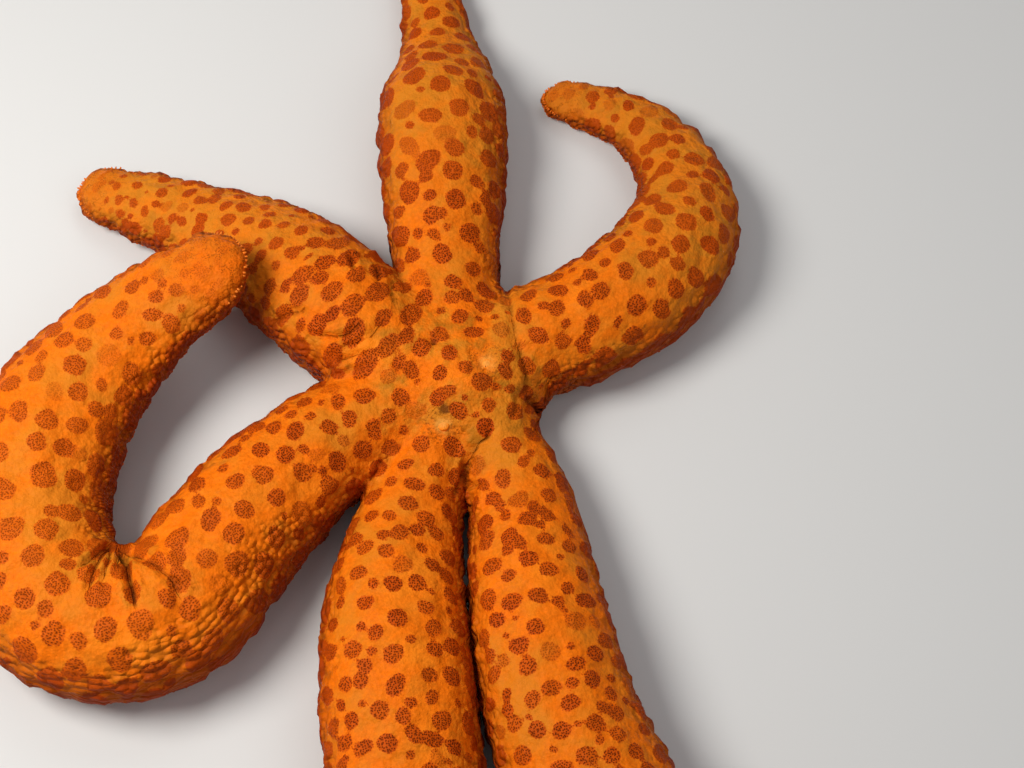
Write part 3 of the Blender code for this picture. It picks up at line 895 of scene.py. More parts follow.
def pegs(bases, reaches, radii, profile, roots, sides=6):
    """Many like closed pegs: rings of the profile's (share of reach, share of radius) and ends.

    bases and reaches are points and vectors in mm, roots the UV places that they grow from.
    """
    count, rings = len(bases), len(profile)
    unit = reaches / np.linalg.norm(reaches, axis=1)[:, None]
    helper = np.where(np.abs(unit[:, 2:]) > 0.8, [[1.0, 0, 0]], [[0, 0, 1.0]])
    first = np.cross(unit, helper)
    first /= np.linalg.norm(first, axis=1)[:, None]
    second = np.cross(unit, first)
    round_peg = circle(sides)
    share, size = np.array(profile).T
    rim = first[:, None] * round_peg[None, :, :1] + second[:, None] * round_peg[None, :, 1:]
    points = (bases[:, None, None] + reaches[:, None, None] * share[None, :, None, None]
              + rim[:, None] * (radii[:, None] * size)[:, :, None, None])
    points = points.reshape(count, -1, 3)
    points = np.concatenate([points, bases[:, None], (bases + reaches)[:, None]], 1)
    local = round_peg * (1 - 0.3 * share)[:, None, None]
    local = np.concatenate([local.reshape(-1, 2), [[0, 0], [0, 0]]]) * ROOT_PATCH
    quads = ring_faces(rings, sides)[:, [0, 3, 2, 1]]
    base, tip = rings * sides, rings * sides + 1
    ends = np.concatenate([end_faces(sides, 0, base)[:, [1, 0, 2]],
                           end_faces(sides, (rings - 1) * sides, tip)])
    shift = (np.arange(count) * points.shape[1])[:, None, None]
    faces = [(part + shift).reshape(-1, part.shape[1]) for part in (quads, ends)]
    uvs = [(roots[:, None] + local[part.ravel()]).reshape(-1, 2) for part in (quads, ends)]
    return points.reshape(-1, 3), faces, np.concatenate(uvs)


# ---- materials ---------------------------------------------------------------------------------
def linear(red, green, blue):
    """A display colour of 0 to 255 as the linear colour that shaders take."""
    share = np.array([red, green, blue]) / 255
    return tuple(np.where(share <= 0.04045, share / 12.92, ((share + 0.055) / 1.055) ** 2.4))


class Tree:
    """Short calls for adding nodes to one node tree; a value may be a number or a socket."""

    def __init__(self, tree):
        self.tree = tree

    def node(self, kind, inputs=None, **settings):
        """Add a node with its own settings, and link or set its inputs by name or number."""
        made = self.tree.nodes.new(kind)
        for key, value in settings.items():
            setattr(made, key, value)
        for key, value in (inputs or {}).items():
            if isinstance(value, bpy.types.NodeSocket):
                self.tree.links.new(value, made.inputs[key])
            elif value is not None:
                made.inputs[key].default_value = value
        return made

    def math(self, operation, a, b=None, c=None):
        return self.node("ShaderNodeMath", {0: a, 1: b, 2: c}, operation=operation).outputs[0]

    def times(self, value, *factors):
        for factor in factors:
            value = self.math("MULTIPLY", value, factor)
        return value

    def less(self, value, *others):
        for other in others:
            value = self.math("SUBTRACT", value, other)
        return value

    def most(self, value, *others):
        for other in others:
            value = self.math("MAXIMUM", value, other)
        return value

    def ramp(self, value, low, high, start=0.0, end=1.0):
        """From start at low to end at high, level past them."""
        inputs = {"Value": value, "From Min": low, "From Max": high, "To Min": start,
                  "To Max": end}
        made = self.node("ShaderNodeMapRange", inputs, interpolation_type="SMOOTHSTEP")
        return made.outputs["Result"]

    def mix(self, share, a, b, blend="MIX"):
        inputs = {0: share, 6: a, 7: b}
        made = self.node("ShaderNodeMix", inputs, data_type="RGBA", blend_type=blend)
        return made.outputs[2]

    def layers(self, colour, *layers):
        """Lay colours over a colour one after another, each by its share."""
        for share, over in layers:
            colour = self.mix(share, colour, over)
        return colour

    def attribute(self, name):
        """A value that the mesh holds at each point."""
        return self.node("ShaderNodeAttribute", attribute_name=name).outputs["Fac"]

    def noise(self, place, scale, detail=2.0, roughness=0.5):
        inputs = {"Vector": place, "Scale": scale, "Detail": detail, "Roughness": roughness}
        return self.node("ShaderNodeTexNoise", inputs).outputs["Fac"]

    def cells(self, place, scale, randomness, dimensions="3D"):
        """How far places lie from the middles of random cells."""
        inputs = {"Vector": place, "Scale": scale, "Randomness": randomness}
        made = self.node("ShaderNodeTexVoronoi", inputs, voronoi_dimensions=dimensions)
        return made.outputs["Distance"]

    def dress(self, shader, colour, height, distance, strength):
        """Give a shader its colour and, through a bump, its fine relief."""
        inputs = {"Height": height, "Distance": distance, "Strength": strength}
        bump = self.node("ShaderNodeBump", inputs)
        self.tree.links.new(colour, shader.inputs["Base Color"])
        self.tree.links.new(bump.outputs[0], shader.inputs["Normal"])


def new_material(name, roughness, coat=0.0, specular=0.15):
    """A material, short calls for its node tree, and its shader."""
    material = bpy.data.materials.new(name)
    material.use_nodes = True
    tree = Tree(material.node_tree)
    shader = material.node_tree.nodes["Principled BSDF"]
    shader.inputs["Roughness"].default_value = roughness
    shader.inputs["Specular IOR Level"].default_value = specular
    shader.inputs["Coat Weight"].default_value = coat
    return material, tree, shader


def fine_grain_group():
    """Flesh's fine grain, shared by the skin and what grows from it: a tint and a height."""
    name = "flesh_grain"
    if name in bpy.data.node_groups:
        return bpy.data.node_groups[name]
    group = bpy.data.node_groups.new(name, "ShaderNodeTree")
    for label, kind, direction in (("Color", "NodeSocketColor", "INPUT"),
                                   ("Tan", "NodeSocketColor", "INPUT"),
                                   ("Amount", "NodeSocketFloat", "INPUT"),
                                   ("Color", "NodeSocketColor", "OUTPUT"),
                                   ("Height", "NodeSocketFloat", "OUTPUT")):
        group.interface.new_socket(label, in_out=direction, socket_type=kind)
    tree = Tree(group)
    given = tree.node("NodeGroupInput").outputs
    place = tree.node("ShaderNodeTexCoord").outputs["Object"]
    cloud = tree.ramp(tree.noise(place, 190.0, 4.0, 0.6), 0.42, 0.68)
    colour = tree.mix(tree.times(cloud, given["Amount"]), given["Color"], given["Tan"])
    speck = tree.ramp(tree.noise(place, 1500.0, 2.0, 0.6), 0.35, 0.7, 0.9, 1.08)
    shade = tree.node("ShaderNodeCombineColor", {0: speck, 1: speck, 2: speck}).outputs[0]
    height = tree.math("ADD", tree.times(tree.noise(place, 900.0, 3.0, 0.6), 0.5),
                       tree.times(tree.noise(place, 2600.0, 2.0, 0.5), 0.3))
    tree.node("NodeGroupOutput", {"Color": tree.mix(1.0, colour, shade, "MULTIPLY"),
                                  "Height": height})
    return group


def grain(tree, colour, tan, amount):
    """A colour clouded with tan and finely grained, and the grain's height."""
    inputs = {"Color": colour, "Tan": tan, "Amount": amount}
    made = tree.node("ShaderNodeGroup", inputs, node_tree=fine_grain_group())
    return made.outputs["Color"], made.outputs["Height"]


def paints(settings):
    """Each colour among the settings, with full alpha, by its name less "_colour"."""
    return {name.removesuffix("_colour"): (*getattr(settings, name), 1.0)
            for name in SeaStarSettings.__annotations__ if name.endswith("_colour")}


def skin_ground(tree, paint, place, skin):
    """The skin between patches: clouded orange, duller on the disc, with painted shade on the
    flanks.
    """
    base, height = grain(tree, paint["base"], paint["tan"],
                         tree.ramp(skin["dull"], 0.0, 1.0, 0.45, 1.0))
    cloud = tree.noise(place, 70.0, 3.0, 0.55)
    olive = tree.ramp(tree.noise(place, 260.0, 4.0, 0.6), 0.5, 0.7)
    blotch = tree.ramp(tree.noise(place, 620.0, 2.0, 0.5), 0.3, 0.6, 0.35, 1.0)
    base = tree.layers(
        base,
        (tree.ramp(cloud, 0.52, 0.72, 0.0, 0.6), paint["bright"]),
        (tree.ramp(cloud, 0.5, 0.34, 0.0, 0.7), paint["tan"]),
        (tree.times(olive, tree.ramp(skin["dull"], 0.1, 1.0, 0.1, 0.75)), paint["olive"]),
        # Painted shade: where the arms lie in shade their orange is dulled toward tan.
        (tree.times(skin["painted_shading"], 0.6), paint["tan"]),
        (tree.times(skin["end"], 0.3), paint["patch"]),
        # Painted shade: the flanks turn to the darker flank colour as they round away from the
        # light.
        (tree.ramp(skin["side"], 0.5, 1.05), paint["flank"]),
        (tree.times(tree.ramp(skin["spot"], 0.0, 1.0), blotch), paint["plate"]))
    return base, height


def skin_patches(tree, paint, place, skin, pores, wobble, loose):
    """The patches' share and colour, and the pores' dark dots, painted shade in their pits; loose
    dots lie outside patches.
    """
    side, end, painted_shading = skin["side"], skin["end"], skin["painted_shading"]
    scallop = tree.times(tree.less(pores, 0.35), 0.32)
    edge = tree.math("ADD", tree.math("MULTIPLY_ADD", wobble, 1.1, skin["patch"]), scallop)
    inside = tree.times(tree.ramp(edge, 0.12, -0.12), skin["strength"],
                        tree.ramp(side, 1.15, 1.5, 1.0, 0.0), tree.ramp(end, 0.0, 1.0, 1.0, 0.35))
    tone = tree.layers(
        paint["patch"],
        (tree.ramp(tree.noise(place, 240.0), 0.3, 0.7), paint["patch_dark"]),
        # Painted shade darkens the patches on the shaded arms, and painted light pales them past arm
        # 5's elbow.
        (tree.ramp(painted_shading, 0.0, 1.0, 0.0, 0.6), paint["patch_dark"]),
        (tree.ramp(painted_shading, 0.0, -1.0, 0.0, 0.12), paint["bright"]),
        # Painted shade: patches turn to the darker side patch colour down the flanks.
        (tree.ramp(side, 0.4, 0.9), paint["patch_side"]))
    deep = tree.times(tree.ramp(edge, 0.0, -0.3), skin["strength"],
                      tree.ramp(side, 0.45, 0.8, 1.0, 0.12), tree.ramp(end, 0.0, 1.0, 1.0, 0.4),
                      tree.ramp(painted_shading, 0.1, 0.9, 1.0, 0.5), tree.ramp(painted_shading, 0.0, -1.0, 1.0, 0.75))
    return inside, tone, tree.times(tree.ramp(pores, 0.4, 0.22), tree.most(deep, loose))


def skin_furrows(tree, place, skin, wobble):
    """The thin dark line of painted shade along each furrow's deepest part, and the painted brown
    shade round it.
    """
    fold = skin["fold"]
    seam = tree.math("ABSOLUTE", tree.math("MULTIPLY_ADD", wobble, 0.7, skin["seam"]))
    seam = tree.math("MULTIPLY_ADD", fold, -0.12, seam)
    line = tree.times(tree.ramp(seam, 0.16, -0.02), tree.ramp(fold, 0.2, 1.1),
                      tree.ramp(tree.noise(place, 450.0), 0.35, 0.6, 0.45, 1.0))
    shade = tree.ramp(tree.math("MULTIPLY_ADD", wobble, 0.5, fold), 0.3, 1.0, 0.0, 0.55)
    # Dark spots of painted shade at the anus's opening and beside the sieve plates.
    shade_spots = tree.ramp(skin["spot"], 0.0, -1.0, 0.0, 0.8)
    return line, tree.most(shade, tree.times(line, 0.9), shade_spots)


def skin_material(settings, values):
    """Orange flesh with darker scalloped patches, each pricked with pores painted dark as the shade
    in their pits.
    """
    material, tree, shader = new_material("sea_star_skin", 0.6, specular=0.06)
    paint = paints(settings)
    place = tree.node("ShaderNodeTexCoord").outputs["Object"]
    chart = tree.node("ShaderNodeUVMap", uv_map="OFBake").outputs["UV"]
    millimetres = tree.node("ShaderNodeVectorMath", {0: chart, "Scale": CHART_SIDE},
                            operation="SCALE").outputs[0]
    skin = {name: tree.attribute(name) for name in values}
    end = tree.ramp(skin["along"], 0.88, 0.97)
    skin["end"] = end
    base, height = skin_ground(tree, paint, place, skin)
    pores = tree.cells(millimetres, MM / settings.pore_spacing, 0.8, "2D")
    wobble = tree.less(tree.noise(place, 380.0, 1.0), 0.5)
    loose = tree.times(end, tree.ramp(tree.noise(millimetres, 0.6, 1.0), 0.5, 0.6, 0.0, 0.5))
    inside, tone, dot = skin_patches(tree, paint, place, skin, pores, wobble, loose)
    line, shade = skin_furrows(tree, place, skin, wobble)
    scales = tree.cells(millimetres, MM / settings.scale_spacing, 0.75, "2D")
    flank = tree.ramp(tree.math("MULTIPLY_ADD", wobble, 0.5, skin["scaly"]), 0.5, 0.9)
    # The gaps between the flanks' scales get painted shade in the fold colour.
    gap = tree.times(tree.ramp(scales, 0.42, 0.72), flank)
    dome = tree.times(tree.ramp(scales, 0.1, 0.75), flank)
    specks = tree.times(skin["rough"], tree.ramp(tree.noise(place, 2100.0, 2.0, 0.6), 0.52, 0.62))
    # Painted shade laid over the orange: the pores' dark dots, the gaps between scales, and the
    # furrows' lines, shade and dark spots.
    colour = tree.layers(base, (inside, tone), (tree.times(dot, 0.92), paint["pore"]),
                         (tree.times(gap, 0.3), paint["fold"]),
                         (tree.times(specks, 0.55), paint["fold"]), (shade, paint["fold"]))
    grains = tree.times(tree.cells(place, 1900.0, 0.9), tree.ramp(end, 0.0, 1.0, 0.15, 0.8))
    rise = tree.times(height, tree.ramp(skin["rough"], 0.0, 1.0, 0.6, 2.0))
    rise = tree.math("MULTIPLY_ADD", tree.noise(place, 520.0, 3.0, 0.55),
                     tree.ramp(skin["dull"], 0.0, 1.0, 4.0, 6.0), rise)
    rise = tree.less(rise, tree.times(dome, 5.0), tree.times(line, 5.0), grains,
                     tree.times(dot, 0.7))
    tree.dress(shader, colour, rise, 0.00022, 0.75)
    tree.tree.links.new(tree.ramp(dot, 0.0, 1.0, 0.58, 0.7), shader.inputs["Roughness"])
    return material


def flesh_material(name, colour, tan, roughness, coat=0.1):
    """One grained colour, for the small pieces."""
    material, tree, shader = new_material(name, roughness, coat)
    tree.dress(shader, *grain(tree, colour, tan, 0.8), 0.0001, 0.6)
    return material


# ---- what a user may change --------------------------------------------------------------------
def colour_setting(name, description, *display):
    """A colour that a user may change, from a display colour of 0 to 255."""
    return bpy.props.FloatVectorProperty(name=name, description=description, subtype="COLOR",
                                         size=3, min=0, max=1, default=linear(*display))


def spacing_setting(name, description, usual, least, most):
    """A spacing that a user may change, its usual value and limits given in mm."""
    return bpy.props.FloatProperty(name=name, description=description, default=usual * MM,
                                   min=least * MM, max=most * MM, unit="LENGTH",
                                   subtype="DISTANCE", precision=5)


class SeaStarSettings(bpy.types.PropertyGroup):
    """Sizes and colours of the dressed sea star."""

    base_colour: colour_setting("Skin", "Orange between the patches", 231, 108, 6)
    bright_colour: colour_setting("Bright skin", "Lighter clouds in the orange", 249, 135, 24)
    tan_colour: colour_setting("Tan skin", "Duller mottling in the orange", 206, 121, 26)
    olive_colour: colour_setting("Olive skin", "Olive blotches near creases", 164, 102, 20)
    # The flank colour is painted shade, the arms' sides darkening as they turn away from the light;
    # the flank granules take it too.
    flank_colour: colour_setting("Flank", "Browner skin low on the arms", 170, 72, 4)
    patch_colour: colour_setting("Patch", "Red-brown patches round the pores", 200, 79, 2)
    patch_dark_colour: colour_setting("Dark patch", "Darker parts of the patches", 180, 66, 1)
    # The side patch colour is painted shade: patches darken as they round down the flanks, away from
    # the light.
    patch_side_colour: colour_setting("Side patch", "Smooth patches on the flanks", 158, 53, 1)
    # The pore colour is painted shade: dark dots for the shade inside each pore's pit.
    pore_colour: colour_setting("Pore", "The dark pores", 92, 30, 2)
    # The fold colour is painted shade in the furrows, between the flanks' scales, at the dark spots
    # and in the sieve plates' openings; the specks round the sieve plates also take it.
    fold_colour: colour_setting("Fold", "Brown lines in the creases", 84, 36, 4)
    plate_colour: colour_setting("Sieve plate", "The two pale madreporites", 242, 160, 66)
    bead_colour: colour_setting("End beads", "Beads round the arms' ends", 226, 118, 30)
    spine_colour: colour_setting("Spines", "Short spines along the grooves", 226, 140, 62)
    foot_colour: colour_setting("Tube feet", "Tube feet in the grooves", 232, 190, 140)
    pore_spacing: spacing_setting("Pore spacing", "Space between pores", 0.4, 0.2, 2)
    scale_spacing: spacing_setting("Scale spacing", "Size of the flanks' scales", 1.35, 0.5, 5)
    bead_spacing: spacing_setting("Granule spacing", "Space between granules", 1.25, 0.5, 5)


# ---- the skin's piece --------------------------------------------------------------------------
DULL_DISC = (8, 26)             # the orange is duller within these distances from the centre
DULL_FURROWS = 0.9
# Where along an arm its patches darken and dull in painted shade, their pores fading (or, below
# nought, turn paler in painted light), and how much.
PAINTED_SHADING_ARMS = {"arm_1": (20, 55, 0.75), "arm_2": (25, 55, 0.9), "arm_6": (27, 45, 0.8),
             "arm_5": (30, 65, -1.0)}
PALE_RADIUS = 1.5               # the skin is pale round each sieve plate
SHADE_SPOTS = ((*ANUS, 0.6), (4.3, 0.0, 0.4), (-2.5, -7.3, 0.9))  # dark spots of painted shade at the anus and by the sieve plates: place and radius
SHADE_SPOT_STRENGTH = 1.6
SCALY_BEND = (36, 80)           # outside arm 5's elbow, flank scales reach further up
SCALY_FADE = 10
SCALY_SHIFT = 0.3
ROUGH_RING = 2.7                # the skin is rough round each sieve plate, most at this distance
ROUGH_WIDTH = 1.3


@functools.cache
def the_skin():
    """The skin's arrays, worked out once."""
    skin = Skin()
    skin.patch, skin.strength = Patches(skin).nearest(skin.points)
    furrow_skin(skin)
    # The anus is sunk like a furrow and so takes the furrows' painted shade, shade in its opening.
    anus = bell(away_from(skin.points, ANUS) / ANUS_RADIUS) * (np.abs(skin.across) < 1)
    skin.fold = np.maximum(skin.fold, anus)
    add_relief(skin)
    skin.normal = skin.normals()
    return skin


def skin_values(skin):
    """What the skin's material reads at each point, by name.

    side is how far round from the crest, the painted shading how much painted shade darkens the
    patches and fades their pores (below nought, how much painted light pales them), and dull how
    much the orange turns to tan and olive, painted shading included. spot is positive on the pale
    skin round the sieve plates and negative on dark spots of painted shade, scaly is where flank
    scales show, and rough the plates' surroundings.
    """
    p, side = skin.points, np.abs(skin.across)
    painted_shading, spot, rough = np.zeros((3, len(p)))
    for name, (low, high, amount) in PAINTED_SHADING_ARMS.items():
        painted_shading += amount * smooth_step(skin.distance, low, high) * skin.on_arm(name)
    dull = np.maximum(1 - smooth_step(away_from(p), *DULL_DISC), DULL_FURROWS * skin.beside)
    for place in MADREPORITES:
        apart = away_from(p, place)
        spot = np.maximum(spot, bell(apart / PALE_RADIUS))
        rough = np.maximum(rough, bell((apart - ROUGH_RING) / ROUGH_WIDTH))
    for *place, radius in SHADE_SPOTS:
        spot -= SHADE_SPOT_STRENGTH * bell(away_from(p, place) / radius)
    start, end = SCALY_BEND
    bend = smooth_step(skin.distance, start, start + SCALY_FADE)
    bend = bend * (1 - smooth_step(skin.distance, end - SCALY_FADE, end))
    bend = bend * (skin.across > 0) * skin.on_arm("arm_5")
    return {"patch": skin.patch, "strength": skin.strength, "side": side, "along": skin.along,
            "fold": skin.fold, "seam": skin.seam, "dull": np.maximum(dull, painted_shading), "painted_shading": painted_shading,
            "spot": spot * (side < 1), "scaly": side + SCALY_SHIFT * bend,
            "rough": rough * (side < 1)}


class SEASTAR_OT_skin(bpy.types.Operator):
    """Add the skin, one closed surface over the disc and the arms"""

    bl_idname = "seastar.skin"
    bl_label = "Skin"

    def execute(self, context):
        skin = the_skin()
        values = skin_values(skin)
        piece = add_mesh("skin", skin.points, (skin.quads, skin.triangles), skin.uvs,
                         skin_material(context.scene.sea_star, values), values)
        nodes = [f"{name}_{part}" for name, arm in ARMS.items() for part in arm["nodes"]]
        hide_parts("disc", *nodes)
        return {"FINISHED"}


# ---- what grows from the skin ------------------------------------------------------------------
GRANULE_SEED = 77
GRANULE_LINES = (11.6, 12.8, 14.0, 15.2)  # columns of the under sheet that granules grow on
GRANULE_RADIUS = 0.36
GRANULE_ROOT = 0.12             # how deep granules sit in the skin
GRANULE_LOWEST = 0.45
GRANULE_STRAY = (0.25, 0.15)    # they stray this far from their rows and columns
GRANULE_SIZES = (0.75, 1.1)
GRANULE_REACH = 0.8             # height over their radius
END_BEAD_SEED = 19
END_BEADS = 27                  # round each arm's end
END_BEAD_RADIUS = 0.26
END_BEAD_ROOT = 0.45
END_BEAD_SUNK, END_BEAD_REACH = 0.3, 0.4  # their part inside the skin and outside it
END_BEAD_LEVEL = 0.12           # how far over the widest level they grow, as a share of the width
END_BEAD_STRAY = (0.02, 0.03)   # they stray this far along their row and from its level
END_BEAD_RISE = 0.3             # how much they point upwards
END_BEAD_REACHES, END_BEAD_SIZES = (0.6, 1.1), (0.75, 1.15)
# Rows of spines along a groove: column of the under sheet, reach, spacing and offset.
SPINE_ROWS = ((3.6, 1.5, 0.95, 0.0), (4.8, 1.2, 1.1, 0.5))
SPINE_LIFT = 0.42
FOOT_SPACING = 1.7
FOOT_COLUMN, FOOT_SHARE = 3.0, 0.38  # tube feet stand this share of the way out to the column
FOOT_CLEARANCE = 0.45           # and end this high over the floor
GROOVE_PEG_RADIUS = 0.3
GROOVE_START = -8.0             # rows by which the grooves' rows reach onto the disc
SPINES_STOP, FEET_STOP = 8.0, 14.0  # and how many rows before the arm's end they stop
FOOT_ROOT = 0.2                 # how far over the groove's roof tube feet begin
SHORTEST_FOOT = 0.3


def lookup(table, row, column):
    """Values of a table at fractional rows and columns."""
    row, column = np.broadcast_arrays(row, column)
    r = np.minimum(np.floor(row).astype(int), table.shape[0] - 2)
    c = np.minimum(np.floor(column).astype(int), table.shape[1] - 2)
    t, u = (row - r)[:, None], (column - c)[:, None]
    return ((table[r, c] * (1 - u) + table[r, c + 1] * u) * (1 - t)
            + (table[r + 1, c] * (1 - u) + table[r + 1, c + 1] * u) * t)


def snap(table, row, column):
    """Values of a table at the rows and columns nearest to fractional ones."""
    return table[np.round(row).astype(int), np.round(column).astype(int)]


def joined(parts):
    """Lists of like arrays, each list joined into one array."""
    return [np.concatenate(part) for part in zip(*parts)]


def add_pegs(name, settings, colour, roughness, *shape):
    """A piece of many pegs in one grained colour; shape is what pegs takes."""
    paint = paints(settings)
    material = flesh_material(f"sea_star_{name}", paint[colour], paint["base"], roughness)
    add_mesh(name, *pegs(*shape), material)


def line_rows(sheet, spacing, offset, start=1.0, stop=1.0):
    """Fractional rows along the arm about spacing mm apart, from past the disc to the end."""
    step = spacing / ROW_SPACING
    return np.arange(sheet.rows + start + offset * step, sheet.count - 2 - stop, step)


class SEASTAR_OT_granules(bpy.types.Operator):
    """Add the rows of granules low on both flanks of each arm"""

    bl_idname = "seastar.granules"
    bl_label = "Flank granules"

    def execute(self, context):
        settings, skin = context.scene.sea_star, the_skin()
        draw = np.random.default_rng(GRANULE_SEED)
        row_stray, column_stray = GRANULE_STRAY
        granules = []
        for _, low in skin.sheets.values():
            tables = skin.points[low.index], skin.normal[low.index]
            for number, line in enumerate(GRANULE_LINES):
                for side in (-1, 1):
                    rows = line_rows(low, settings.bead_spacing / MM, 0.5 * (number % 2))
                    rows = rows + draw.uniform(-row_stray, row_stray, len(rows))
                    stray = draw.uniform(-column_stray, column_stray, len(rows))
                    columns = low.rows + side * (line + stray)
                    granules.append((*(lookup(table, rows, columns) for table in tables),
                                     snap(skin.chart[low.index], rows, columns)))
        bases, normals, roots = joined(granules)
        radii = GRANULE_RADIUS * draw.uniform(*GRANULE_SIZES, len(bases))
        high = bases[:, 2] > GRANULE_LOWEST
        bases, normals, roots, radii = bases[high], normals[high], roots[high], radii[high]
        # The granules take the flank colour, which is painted shade.
        add_pegs("flank_granules", settings, "flank", 0.5, bases - GRANULE_ROOT * normals,
                 normals * (GRANULE_REACH * radii)[:, None], radii, BEAD, roots)
        return {"FINISHED"}


class SEASTAR_OT_end_beads(bpy.types.Operator):
    """Add the row of small beads round the end of each arm"""

    bl_idname = "seastar.end_beads"
    bl_label = "End beads"

    def execute(self, context):
        skin, beads = the_skin(), []
        draw = np.random.default_rng(END_BEAD_SEED)
        stray, level_stray = END_BEAD_STRAY
        for arm in ARMS.values():
            angle = np.linspace(-1, 1, END_BEADS) + draw.uniform(-stray, stray, END_BEADS)
            angle = angle * math.pi / 2
            distance = arm_length(arm) - TIP_ROUNDING + TIP_ROUNDING * np.cos(angle)
            width = smooth_values(arm["widths"], distance)
            tall = width * flattening(arm, distance)
            level = END_BEAD_LEVEL + draw.uniform(-level_stray, level_stray, END_BEADS)
            up = (AXIS_HEIGHT + level) * tall + lift(arm, distance)
            base = np.column_stack([beside(arm, distance, np.sin(angle) * width / 2), up])
            lean = np.arctan2(np.sin(angle) * TIP_ROUNDING, np.cos(angle) * width / 2)
            way = route(arm, distance)[2] + lean
            out = np.stack([np.cos(way), np.sin(way), np.full(END_BEADS, END_BEAD_RISE)], 1)
            reach = END_BEAD_SUNK + END_BEAD_REACH * draw.uniform(*END_BEAD_REACHES, END_BEADS)
            nearest = np.linalg.norm(skin.points[:, None] - base[None], axis=2).argmin(0)
            beads.append((base - END_BEAD_ROOT * out, out * reach[:, None], skin.chart[nearest]))
        bases, reaches, roots = joined(beads)
        radii = END_BEAD_RADIUS * draw.uniform(*END_BEAD_SIZES, len(bases))
        add_pegs("end_beads", context.scene.sea_star, "bead", 0.5, bases, reaches, radii, BEAD,
                 roots)
        return {"FINISHED"}


class SEASTAR_OT_grooves(bpy.types.Operator):
    """Add the spines that border each arm's groove, and the tube feet inside it"""

    bl_idname = "seastar.grooves"
    bl_label = "Groove spines and tube feet"

    def execute(self, context):
        skin, spines, feet = the_skin(), [], []
        level, upright = np.array([1, 1, 0]), np.array([0, 0, 1])
        for _, low in skin.sheets.values():
            points, charts = skin.points[low.index], skin.chart[low.index]
            for side in (-1, 1):
                for column, reach, spacing, offset in SPINE_ROWS:
                    rows = line_rows(low, spacing, offset, GROOVE_START, SPINES_STOP)
                    column = low.rows + side * column
                    base = lookup(points, rows, column) + SPINE_LIFT * upright
                    toward = (lookup(points, rows, low.rows) - base) * level
                    toward /= np.linalg.norm(toward, axis=1)[:, None]
                    spines.append((base, toward * reach, snap(charts, rows, column)))
                rows = line_rows(low, FOOT_SPACING, 0.25 + 0.25 * side, GROOVE_START, FEET_STOP)
                middle = lookup(points, rows, low.rows)
                across = (lookup(points, rows, low.rows + side * FOOT_COLUMN) - middle) * level
                base = middle + FOOT_SHARE * across + FOOT_ROOT * upright
                floor = lift(low.arm, (rows - low.rows) * ROW_SPACING + PARTING)
                drop = np.minimum(floor + FOOT_CLEARANCE - base[:, 2], -SHORTEST_FOOT)
                feet.append((base, drop[:, None] * upright, snap(charts, rows, low.rows)))
        for name, parts, profile, colour in (("groove_spines", spines, SPINE, "spine"),
                                             ("tube_feet", feet, FOOT, "foot")):
            bases, reaches, roots = joined(parts)
            radii = np.full(len(bases), GROOVE_PEG_RADIUS)
            add_pegs(name, context.scene.sea_star, colour, 0.45, bases, reaches, radii, profile,
                     roots)
        return {"FINISHED"}


# ---- sieve plates and mouth --------------------------------------------------------------------
# Of each sieve plate, the radius, and where on it its opening shows as a dark dot of painted shade.
PLATES = ((1.1, (-0.2, -0.6)), (1.05, (0.4, 0.5)))
# Share of the radius, and height over the skin.
PLATE_PROFILE = ((0.04, 0.20), (0.2, 0.19), (0.4, 0.16), (0.6, 0.1), (0.8, 0.02), (0.92, -0.06),
                 (1.0, -0.16), (1.0, -0.9))
DOT_RADIUS = 0.16
# Radius and height over the floor, from the mouth's rim inwards.
MOUTH_PROFILE = ((3.7, 3.6), (3.7, 2.8), (3.2, 2.6), (2.4, 2.2), (1.6, 1.9), (1.2, 2.1),
                 (0.9, 3.0), (0.3, 3.2))
TURNED_SIDES = 48


def add_turned(name, place, radii, heights, material, ridges, depth, dot=(0, 0)):
    """A closed turned piece with ridges that run out from its middle, and a point at each end.

    Its height is the profile's and a wave round it, which dies out at the middle and the rim. Its
    material can read each point's share of the radius and how near it lies to a dot.
    """
    rings, widest, ring = len(radii), radii.max(), circle(TURNED_SIDES)
    turn = np.arange(TURNED_SIDES) * 2 * math.pi / TURNED_SIDES
    wave = depth * np.sin(math.pi * radii / widest)[:, None] * np.cos(ridges * turn)
    points = np.concatenate([radii[:, None, None] * ring, (heights[:, None] + wave)[..., None]], 2)
    points = np.concatenate([points.reshape(-1, 3), [[0, 0, heights[0]], [0, 0, heights[-1]]]])
    values = {"rim": away_from(points) / widest, "dot": bell(away_from(points, dot) / DOT_RADIUS)}
    first = rings * TURNED_SIDES
    ends = np.concatenate([end_faces(TURNED_SIDES, 0, first)[:, [2, 0, 1]],
                           end_faces(TURNED_SIDES, first - TURNED_SIDES, first + 1)[:, ::-1]])
    quads = ring_faces(rings, TURNED_SIDES)
    chart = (np.linspace(0.05, 0.45, rings)[:, None, None] * ring).reshape(-1, 2)
    chart = 0.5 + np.concatenate([chart, [[0, 0], [0.5, 0]]])
    uvs = chart[np.concatenate([quads.ravel(), ends.ravel()])]
    return add_mesh(name, points + [*place, 0], (quads, ends), uvs, material, values)


def plate_material(settings):
    """Pale at the middle of a sieve plate, the skin's own orange at its rim, and a dark dot of
    painted shade in its opening.
    """
    material, tree, shader = new_material("sea_star_sieve_plate", 0.6)
    paint = paints(settings)
    tint, height = grain(tree, paint["plate"], paint["base"], 0.5)
    colour = tree.layers(
        tint,
        (tree.ramp(tree.attribute("rim"), 0.2, 0.95), paint["bright"]),
        # The dot is painted shade in the plate's opening.
        (tree.ramp(tree.attribute("dot"), 0.2, 0.8, 0.0, 0.8), paint["fold"]))
    tree.dress(shader, colour, height, 0.0002, 0.7)
    return material


